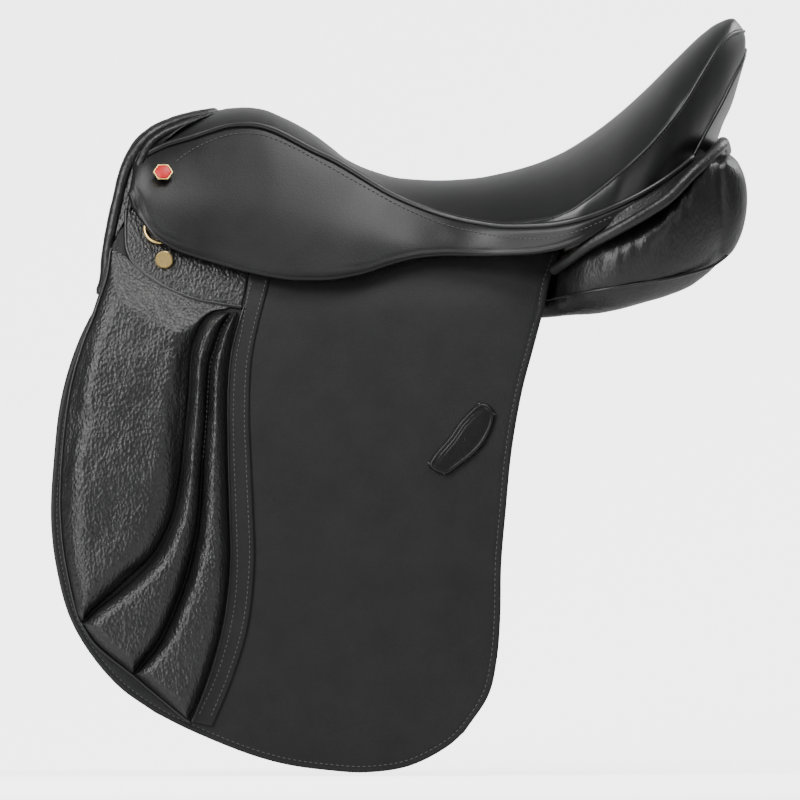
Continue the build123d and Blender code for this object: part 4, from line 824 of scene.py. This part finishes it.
# back of the cantle
zs = np.concatenate([[9, 14], np.linspace(18.3, 97, 46)])
fr = []
for z in zs:
    xs_, ys_ = (SEAM(z) if z >= 18.3 else (192.2 - (18.3 - z) * 0.2, 86 - (18.3 - z) * 0.4))
    xb = float(BACK(max(z, 16))) - (16 - z) * 0.15 * (z < 16)
    t = np.linspace(-1, 1, 61)
    fr.append(np.stack([xb - (xb - xs_) * t * t, ys_ * t, np.full(61, z)], 1))
fr = np.array(fr)
bulge = 2.0 * np.sin(np.pi * np.clip((zs - 9) / 88, 0, 1))[:, None] * (1 - np.linspace(-1, 1, 61)[None] ** 2)
fr[..., 0] += bulge
facing = sheet("cantle_back_leather", fr, fr + np.array([-2.2, 0, 0]), M_SEAT)
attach(facing, ROOT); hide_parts("cantle_facing")

# --------------------------------------------------------------------------- rolls and linings at the arch
ARCH = [(-165, 0, 49.5), (-176, 19, 47.5), (-187, 31, 45), (-198.5, 42, 41), (-210, 52, 35.5), (-221.5, 62, 25), (-230, 71, 9),
        (-235.8, 78, -13), (-240.5, 83.5, -34), (-244, 88, -54), (-246, 93.5, -75), (-248.5, 97.5, -84)]
POM = [(-157, 0, 49.3), (-168.5, 22, 47.2), (-179, 35, 43.8), (-191, 46, 39.6), (-203.5, 55, 34.2), (-213, 62.5, 27), (-219, 68.8, 16),
       (-222.5, 74, 4), (-224.8, 78.6, -10), (-227, 84, -24)]
arch = smooth_path(mirror_path(ARCH), 2.2); pom = smooth_path(mirror_path(POM), 2.2)


def creased(n, r, amp=0.16, seed=0):
    i = np.arange(n)
    return r * (1 + amp * 0.30 * np.sin(i * 0.55 + seed) * np.sin(i * 0.13 + seed) + amp * 0.12 * np.sin(i * 1.3 + seed))


ar = tube("arch_roll_leather", arch, creased(len(arch), 4.3, 0.10), M_PANEL, 18)
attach(ar, ROOT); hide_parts("arch_roll")
pr_ = tube("pommel_roll_leather", pom, creased(len(pom), 3.2, 0.08, 2), M_PANEL, 16)
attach(pr_, ROOT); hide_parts("pommel_roll")


def strip(name, P, Q, mat, n=110, m=9, thick=1.6, sag=0.0, body=ROOT):
    P, Q = even(smooth_path(P, 2), n), even(smooth_path(Q, 2), n)
    v = np.linspace(0, 1, m)[:, None, None]
    A0 = (1 - v) * P[None] + v * Q[None]
    N3 = grid_normals(A0)
    A0 = A0 + N3 * (sag * 4 * v * (1 - v))
    ob = sheet(name, A0, A0 - N3 * thick, mat)
    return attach(ob, body)


inner_v = mirror_path([(-153, 0, 51.6), (-163.5, 23, 49.6), (-174, 36, 45.6), (-186, 46, 40), (-199, 54, 31), (-209, 60, 22),
                       (-215, 67.5, 12), (-220.5, 77, 3), (-223.5, 86, -5), (-225.5, 89, -14), (-227, 88, -24)])
strip("pommel_gusset", mirror_path(POM), inner_v, M_CALF)
strip("arch_gusset", mirror_path(ARCH[:-2]), mirror_path(POM), M_CALF)
strip("arch_lining", mirror_path([(x - 2.4, y, z - 1.5) for x, y, z in ARCH]), mirror_path([(-183, 0, 10.5), (-184, 14, 10.2), (-187, 25, 9.5), (-192, 28, 8), (-198, 30, 5.5),
      (-205, 31, 3), (-215, 36, 0), (-225, 41, -5), (-233, 47, -13), (-240, 54, -26), (-245, 66, -50), (-247.5, 80, -66)]), M_PANEL, sag=0.0)

# point covers with a bound edge
PC_TOP = [(-229.8, -21), (-205, -21), (-175, -28), (-138.5, -44)]
PC_L = [(-229.8, -21), (-230.4, -35), (-229.5, -50.3), (-225.4, -59.9), (-218, -67)]
PC_B = [(-218, -67), (-211.6, -72.3), (-197.8, -80.5), (-177.3, -88.2), (-163.4, -90.9), (-144.1, -93.7)]
PC_R = [(-138.5, -44), (-137.8, -60.3), (-140.1, -77.5), (-144.1, -93.7)]
pc = regrid(coons(PC_TOP, PC_B, PC_L, PC_R, 80, 80), 44, 40, 1.5)
pcl = np.vstack([smooth_path(PC_L, 2), smooth_path(PC_B, 2), smooth_path(PC_R, 2)[::-1]])
pcd = dist_to(pc[..., 0], pc[..., 1], pcl)
for side, s in SIDES:
    h = 0.3 + dome(pcd, 2.4, 2.3) + 1.2 * np.clip((pcd - 3) / 25, 0, 1) + 0.35 * noise(pc[..., 0], pc[..., 0] * 0, pc[..., 1], 14, 9) * np.clip(pcd / 6, 0, 1)
    cov = sheet(side + "_point_pocket", on_flap(pc, h, s), on_flap(pc, 0.0, s), M_CALF)
    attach(cov, ROOT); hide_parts(side + "_point_cover")
    P = smooth_path(PC_L + PC_B[1:], 1.5)
    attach(tube(side + "_pocket_binding", [(x, s * (F(z) + 1.2), z) for x, z in P], 1.5, M_PIPE, 10), ROOT)

# --------------------------------------------------------------------------- panels
PANEL = [(-249, 70, 95.5, 87, -56, -92, -76, -110), (-240, 52, 97.5, 88, -24, -90, -57, -117),
         (-225, 39, 97.5, 87, -3, -88, -38, -120), (-200, 30, 97, 86, 4, -88, -30, -120),
         (-170, 27, 97, 85, 8, -86, -26, -118), (-141, 27.5, 97, 85, 4, -88, -30, -118),
         (-101, 29, 97, 86, 2, -88, -38, -114), (-60, 31, 97, 86, -22, -88, -52, -111),
         (-20, 33, 97, 86, -34, -88, -62, -108), (29, 33, 97, 86, -37, -88, -68, -106),
         (60, 33, 97.5, 87, -33, -88, -70, -104), (80, 33, 102, 90, -27, -86, -70, -103),
         (92, 33, 108, 93, -20, -80, -71, -102), (99, 33, 122, 98, -15, -68, -72, -101), (114, 33, 138, 112, -3, -55, -71, -99.5),
         (136, 33, 148, 119, 3, -43, -68, -95), (157, 33, 149, 120, 6, -31, -64, -89),
         (174, 33, 143, 115, 8, -17, -59, -84), (190, 34, 131, 106, 12, 0, -54, -78),
         (203, 37, 119, 98, 16, 12, -47, -69.5), (214.7, 41, 106, 88, 18.5, 17.5, -40, -61), (222, 44, 100, 84, 19, 19, -36, -56)]
PT = pchip(PANEL)


def mix(a, b, t):
    return a + (b - a) * t


def panel_ring(x, n=64):
    yi, yo, ym, zti, zto, zbi, zbl = PT(x)
    pts = np.array([(yi + 3, zti), (yi, mix(zti, zbi, 0.3)), (yi + 1, mix(zti, zbi, 0.8)), (yi + 5, zbi),
                    (mix(yi, ym, 0.5), mix(zbi, zbl, 0.62)), (ym, zbl), (mix(ym, yo, 0.7), mix(zbl, zto, 0.18)),
                    (yo, mix(zbl, zto, 0.5)), (yo - 3, zto), (mix(yi, yo, 0.68), mix(zti, zto, 0.62)),
                    (mix(yi, yo, 0.35), mix(zti, zto, 0.28))])
    fine = smooth_path(pts, 1.0, closed=True)
    q = np.vstack([fine, fine[:1]])
    s_ = np.concatenate([[0], np.cumsum(np.linalg.norm(np.diff(q, axis=0), axis=1))])
    t = np.linspace(0, s_[-1], n + 1)[:-1]
    return np.stack([np.interp(t, s_, q[:, k]) for k in range(2)], 1)


px_ = np.concatenate([np.linspace(-249, -236, 8)[:-1], np.linspace(-236, 80, 66)[:-1], np.linspace(80, 212, 90)[:-1], 212 + 22.8 * np.sin(np.linspace(0, 1, 22) * 1.52)])
rings = np.array([[(x, y, z) for y, z in panel_ring(min(x, 214))] for x in px_])
k_ = np.sqrt(np.clip(1 - ((px_ - 212) / 23.0) ** 2, 0, 1)); k_[px_ < 212] = 1
rings[..., 1:] = np.array([73.0, -13.0]) + (rings[..., 1:] - np.array([73.0, -13.0])) * k_[:, None, None]
body_ = px_ < 210
for _ in range(2):
    sm = rings.copy(); sm[1:-1] = 0.5 * rings[1:-1] + 0.25 * (rings[:-2] + rings[2:])
    rings[body_] = sm[body_]
# round the section itself towards the rear tip
for i in np.where(px_ > 205)[0]:
    a = float(np.clip((px_[i] - 205) / 26, 0, 1)) * 0.75
    c_ = rings[i].mean(0); r_ = rings[i] - c_
    m_ = np.linalg.norm(r_[:, 1:], axis=1)
    ang = np.arctan2(r_[:, 2] * np.ptp(r_[:, 1]), r_[:, 1] * np.ptp(r_[:, 2]))
    ell = np.stack([np.zeros(len(ang)), 0.5 * np.ptp(r_[:, 1]) * np.cos(ang), 0.5 * np.ptp(r_[:, 2]) * np.sin(ang)], 1)
    rings[i] = c_ + (1 - a) * r_ + a * ell


def panel_y(x, z):
    i = int(np.argmin(np.abs(px_ - x))); r = rings[i]
    m = r[np.abs(r[:, 2] - z) < 3.0]
    return float(m[:, 1].max()) if len(m) else float(r[:, 1].max())


ROLL = [(88, 114, -66), (99, 127, -58.5), (114, 139, -47.5), (136, 148, -35.5), (157, 149, -23.5), (174, 142, -12), (190, 130, 4.5),
        (203, 111, 16.5), (211, 94, 24.5), (214.5, 76, 27), (216, 48, 24), (216.5, 22, 22), (216.5, 0, 21.5)]
roll_path = smooth_path(mirror_path([(x, y, z) for x, y, z in ROLL[::-1]]), 2.0)
# gathers run from the roll down the panel's outer face
R0 = rings.copy()
cen = R0.mean(1, keepdims=True)
rad = R0 - cen; rl = np.linalg.norm(rad, axis=2, keepdims=True)
one = smooth_path([(x, y, z) for x, y, z in ROLL], 2.0)
near = np.min(np.linalg.norm(R0[:, :, None] - one[None, None], axis=3), axis=2)
xx = R0[..., 0]
pk = np.sin(xx / 1.9 + 1.3 * np.sin(xx / 7.3) + 0.04 * near * np.sin(xx / 11)) * np.exp(-(near / 17) ** 1.5) * np.clip((xx - 95) / 20, 0, 1)
pk2 = noise(R0[..., 0], R0[..., 1], R0[..., 2], 30, 4)
dent = -2.2 * np.exp(-((near - 6.5) / 4.0) ** 2) * np.clip((xx - 90) / 15, 0, 1)
rad_n = rad / np.maximum(rl, 1e-6)
outward = np.clip((R0[..., 1] - 60) / 20, 0, 1)
R0 = R0 + rad_n * ((0.7 * pk + dent) * outward + 0.7 * pk2)[..., None]
for side, s in SIDES:
    q = R0.copy(); q[..., 1] *= s
    pn = loft(side + "_panel_cushion", q, M_PANEL, tip=0.08)
    inflate(pn, cap=5.0, pressure=3.0, voxel=6.0, pin=lambda p: 0.6 * float(np.clip((p[0] - 60) / 60, 0, 1)) + 0.12)
    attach(pn, ROOT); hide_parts(side + "_panel")
    G_ = [(82.7, -88.4), (106.5, -83.4), (130.4, -79.4), (154.2, -75.8), (178.1, -71.5), (195.9, -66.9), (207.9, -63.3), (217.4, -55.4)]
    P = smooth_path(G_, 3.0)
    path = relax(np.array([(x, s * (panel_y(x, z) + 0.2), z) for x, z in P]), 8)
    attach(tube(side + "_panel_gusset_seam", path, 1.1, M_PIPE, 10), ROOT)
pr2 = tube("panel_top_roll", roll_path, creased(len(roll_path), 4.3, 0.04, 5), M_PANEL, 16)
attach(pr2, ROOT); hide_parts("left_panel_roll", "right_panel_roll")

# web that drops from the roll to the top of the panels behind the cantle
strip("panel_rear_web", mirror_path([(216.5, 0, 21.5), (216.5, 22, 22), (216, 48, 24), (214.5, 76, 26.5), (208, 98, 20), (200, 113, 12)]),
      mirror_path([(208, 0, 3), (210, 30, 3), (211, 48, 4), (210, 74, 5), (203, 92, 5), (197, 104, 4)]), M_PANEL, 90, 8, 1.5)
# web that closes the space between the panel roll and the seat at the rear
for side, s in SIDES:
    a = [(96, 133, -52), (114, 140, -45), (136, 147, -33.5), (157, 147, -21.5), (174, 140, -10), (188, 128, 6), (201, 110, 17.5), (209, 88, 20)]
    b = [(96, 137, -33), (114, 142.5, -29), (136, 141.5, -20), (157, 132, -9.5), (172, 119, 0), (186, 99, 10), (193, 86, 16), (196, 80, 18)]
    strip(f"{side}_rear_gusset", S(a, s), S(b, s), M_PANEL, 60, 8, 1.4)

# channel lining
gx = np.linspace(-183, 200, 74)
st_z = [min(float(SEAT_Z(x) - (SEAT_Z(x) - EDGE_Z(x)) * (25 / max(EDGE_Y(x), 26)) ** 2.3) - 31,
            float(np.interp(x, [-152, -130, 99, 136, 197], [10, 10, 3, 9, 15]))) for x in gx]
st_z = relax(np.array([[z] for z in st_z]), 4)[:, 0]
st_z[gx < -152] = st_z[gx >= -152][0]
yy = np.linspace(-27, 27, 25)
G3 = np.array([[(x, y, z + 1.0 * (1 - (y / 25) ** 2)) for y in yy] for x, z in zip(gx, st_z)])
lin = sheet("channel_lining", G3, G3 - np.array([0, 0, 1.6]), M_PANEL)
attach(lin, ROOT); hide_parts("gullet_lining")

# --------------------------------------------------------------------------- sweat flaps, straps, webs
SWF = pchip([(-406, 130), (-300, 130), (-220, 126), (-150, 114), (-120, 107), (-98, 101.5)])
sw = regrid(coons([(-236, -98.6), (-90, -98.6), (54, -98.6)], [(-222, -350), (-180, -374), (-120, -394), (-60, -402), (-20, -399), (6, -384)],
                  [(-236, -98.6), (-246, -125), (-256, -160), (-264, -205), (-267, -245), (-262, -285), (-248, -322), (-222, -350)],
                  [(54, -98.6), (50, -125), (43, -165), (35, -220), (31, -270), (29, -320), (22, -358), (6, -384)], 90, 120), 60, 80, 1.3)
swl = np.vstack([sw[:, 0], sw[-1], sw[::-1, -1]])
swd = dist_to(sw[..., 0], sw[..., 1], swl)
for side, s in SIDES:
    X, Z = sw[..., 0], sw[..., 1]
    e = -0.7 * np.exp(-(swd / 0.8) ** 2) - 0.3 * np.exp(-((swd - 5) / 0.9) ** 2)
    A0 = np.stack([X, s * (SWF(Z) + e), Z], -1); B0 = np.stack([X, s * (SWF(Z) - 3.0), Z], -1)
    ob = sheet(side + "_sweat_flap_hide", A0, B0, M_FLAP)
    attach(ob, side + "_under_flap"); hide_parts(side + "_sweat_flap")
STF = pchip([(-420, 138), (-240, 138), (-200, 134), (-150, 125.3), (-120, 117.5), (-95, 110.3), (-78, 103)])
for side, s in SIDES:
    for end, x in (("front", -88.0), ("rear", -4.0)):
        zz = np.concatenate([np.linspace(-78, -402, 110), -402 - 12 * np.sin(np.linspace(0.08, 1, 12) * math.pi / 2)])
        half = np.where(zz > -402, 12.5, 12.5 - 9 * (1 - np.sqrt(np.clip(1 - ((-402 - zz) / 12.01) ** 2, 0, 1))))
        u = ease(17, 1.5) * 2 - 1
        X = x + half[:, None] * u[None]; Z = np.repeat(zz[:, None], 17, 1)
        de = half[:, None] * (1 - np.abs(u))[None]
        e = -0.6 * np.exp(-(de / 0.7) ** 2) - 0.3 * np.exp(-((de - 3) / 0.6) ** 2)
        A0 = np.stack([X, s * (STF(Z) + e), Z], -1); B0 = np.stack([X, s * (STF(Z) - 3.5 - e * 0.6), Z], -1)
        ob = sheet(f"{side}_{end}_girth_strap", A0, B0, M_STRAP)
        cut = []
        for i in range(7):
            bpy.ops.mesh.primitive_cylinder_add(vertices=24, radius=2.5 * MM, depth=0.03,
                location=(x * MM, s * (float(STF(-396 + 25.4 * i)) - 1.7) * MM, (-396 + 25.4 * i) * MM), rotation=(math.pi / 2, 0, 0))
            cut.append(bpy.context.object)
        bpy.ops.object.select_all(action="DESELECT")
        for c_ in cut: c_.select_set(True)
        bpy.context.view_layer.objects.active = cut[0]; bpy.ops.object.join(); cutter = bpy.context.object
        m = ob.modifiers.new("holes", "BOOLEAN"); m.operation = "DIFFERENCE"; m.object = cutter; m.solver = "EXACT"
        bake(ob); bpy.data.objects.remove(cutter, do_unlink=True)
        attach(ob, f"{side}_{end}_billet"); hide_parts(f"{side}_{end}_strap")
    for k, x in enumerate((-88.0, -4.0)):
        zz = np.linspace(-38.6, -104, 40); u = np.linspace(-1, 1, 9)
        X = x + 15 * np.repeat(u[None], 40, 0); Z = np.repeat(zz[:, None], 9, 1)
        A0 = np.stack([X, s * (F(Z) - 13.2 + 0.12 * np.sin(X * 4)), Z], -1); B0 = np.stack([X, s * (F(Z) - 15.0), Z], -1)
        ob = sheet(f"{side}_canvas_web_{k}", A0, B0, M_CANVAS)
        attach(ob, ROOT)
        if k == 0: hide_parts(side + "_girth_webs")

# --------------------------------------------------------------------------- carried-over metal and wood
def paint(node, mat):
    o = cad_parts[node]
    o.data.materials.clear(); o.data.materials.append(mat)
    for sl in o.material_slots: sl.material = mat


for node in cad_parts:
    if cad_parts[node].hide_render: continue
    if node == "wooden_tree": paint(node, M_WOOD)
    elif node in ("steel_head_plate", "steel_gullet_plate", "tree_springs"): paint(node, M_SPRING)
    elif node == "seat_webbing": paint(node, M_CANVAS)
    elif node in ("dee_staples", "cover_nails", "badges") or node.endswith("_dee"): paint(node, M_BRASS)
    elif "stirrup_bar" in node or "bar_catch" in node or node == "catch_pins": paint(node, M_STEEL)
    else: paint(node, M_STRAP)

# red enamel dome in each badge's rim
for side, s in SIDES:
    by = 0.5 * (float(SK(-202.6)[0]) + float(SK(-202.6)[2])) + 4.5
    c = np.array([-202.6, s * by, 6.0]); n = np.array([0, s * 0.83, 0.56]); n /= np.linalg.norm(n)
    ex_ = np.array([1.0, 0, 0]); ey_ = np.cross(n, ex_)
    V, Fc = [], []
    for i in range(7):
        r = 6.3 * (1 - i / 6.0) if i < 6 else 0.05
        for k in range(36):
            a = 2 * math.pi * k / 36
            hexr = r * (1 - 0.10 * abs(math.sin(3 * a)))
            V.append(c + ex_ * hexr * math.cos(a) + ey_ * hexr * math.sin(a) + n * (2.05 + 0.9 * (1 - (r / 6.3) ** 2)))
    for i in range(6):
        for k in range(36):
            Fc.append((i * 36 + k, i * 36 + (k + 1) % 36, (i + 1) * 36 + (k + 1) % 36, (i + 1) * 36 + k))
    base = len(V)
    for k in range(36):
        a = 2 * math.pi * k / 36
        hexr = 6.3 * (1 - 0.10 * abs(math.sin(3 * a)))
        V.append(c + ex_ * hexr * math.cos(a) + ey_ * hexr * math.sin(a) + n * 1.0)
    for k in range(36):
        Fc.append((base + k, base + (k + 1) % 36, (k + 1) % 36, k))
    Fc.append(tuple(base + k for k in reversed(range(36)))); Fc.append(tuple(6 * 36 + k for k in range(36)))
    ob = new_obj(side + "_badge_enamel", np.array(V) * MM, Fc, M_ENAMEL)
    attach(ob, ROOT)

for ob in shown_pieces():
    nm = ob.name

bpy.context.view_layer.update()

# --------------------------------------------------------------------------- stage, light, camera
def backdrop():
    z0, r = -0.4425, 2.4
    prof = [(-3.4, z0), (0.35, z0)]
    for i in range(1, 41):
        a = i / 40 * math.pi / 2
        prof.append((0.35 + r * math.sin(a), z0 + r * (1 - math.cos(a))))
    prof.append((0.35 + r, 5.0))
    V, Fc = [], []
    for y, z in prof:
        V += [(-6, y, z), (6, y, z)]
    for i in range(len(prof) - 1):
        Fc.append((2 * i, 2 * i + 1, 2 * i + 3, 2 * i + 2))
    me = bpy.data.meshes.new("backdrop"); me.from_pydata(V, [], Fc)
    ob = bpy.data.objects.new("backdrop", me); bpy.context.scene.collection.objects.link(ob)
    for p in me.polygons: p.use_smooth = True
    m, nt, b = mat_nodes("backdrop_white")
    b.inputs["Base Color"].default_value = (0.80, 0.80, 0.80, 1); b.inputs["Roughness"].default_value = 0.9
    b.inputs["Specular IOR Level"].default_value = 0.0
    lp = nt.nodes.new("ShaderNodeLightPath"); em = nt.nodes.new("ShaderNodeMath"); em.operation = "MULTIPLY"
    em.inputs[1].default_value = GLOW
    nt.links.new(lp.outputs["Is Camera Ray"], em.inputs[0]); nt.links.new(em.outputs[0], b.inputs["Emission Strength"])
    b.inputs["Emission Color"].default_value = (1, 1, 1, 1)
    me.materials.append(m)
    return ob


GLOW = 3.4


def area(name, loc, target, size, power, color=(1, 1, 1)):
    l = bpy.data.lights.new(name, "AREA"); l.shape = "RECTANGLE"; l.size, l.size_y = size; l.energy = power; l.color = color
    o = bpy.data.objects.new(name, l); bpy.context.scene.collection.objects.link(o)
    o.location = loc
    o.rotation_euler = (Vector(target) - Vector(loc)).to_track_quat("-Z", "Y").to_euler()
    return o


lights = [area("key", (-1.3, -1.3, 1.3), (-0.05, 0, -0.1), (1.0, 1.0), 44),
          area("left", (-1.7, -1.9, -0.05), (-0.15, -0.1, -0.22), (0.8, 1.3), 30),
          area("top", (0.5, -0.5, 1.9), (0.1, 0, 0), (1.4, 0.8), 40),
          area("fill", (1.5, -1.9, 0.2), (0, 0, -0.25), (1.0, 1.6), 8),
          area("rim", (1.3, 1.4, 1.0), (0, 0, 0), (1.0, 1.0), 16)]
world = bpy.data.worlds.new("studio"); bpy.context.scene.world = world; world.use_nodes = True
wb = world.node_tree.nodes["Background"]; wb.inputs[0].default_value = (0.93, 0.94, 0.96, 1); wb.inputs[1].default_value = 0.20
bd = backdrop()

cam = bpy.data.cameras.new("photo_camera"); cam.type = "ORTHO"; cam.ortho_scale = 0.596; cam.clip_end = 20
co = bpy.data.objects.new("photo_camera", cam); bpy.context.scene.collection.objects.link(co)
ELEV = math.radians(0.6)
co.location = (-0.0261, -0.08 - 3.0 * math.cos(ELEV), -0.1632 + 3.0 * math.sin(ELEV)); co.rotation_euler = (math.radians(90) - ELEV, 0, 0)
bpy.context.scene.camera = co
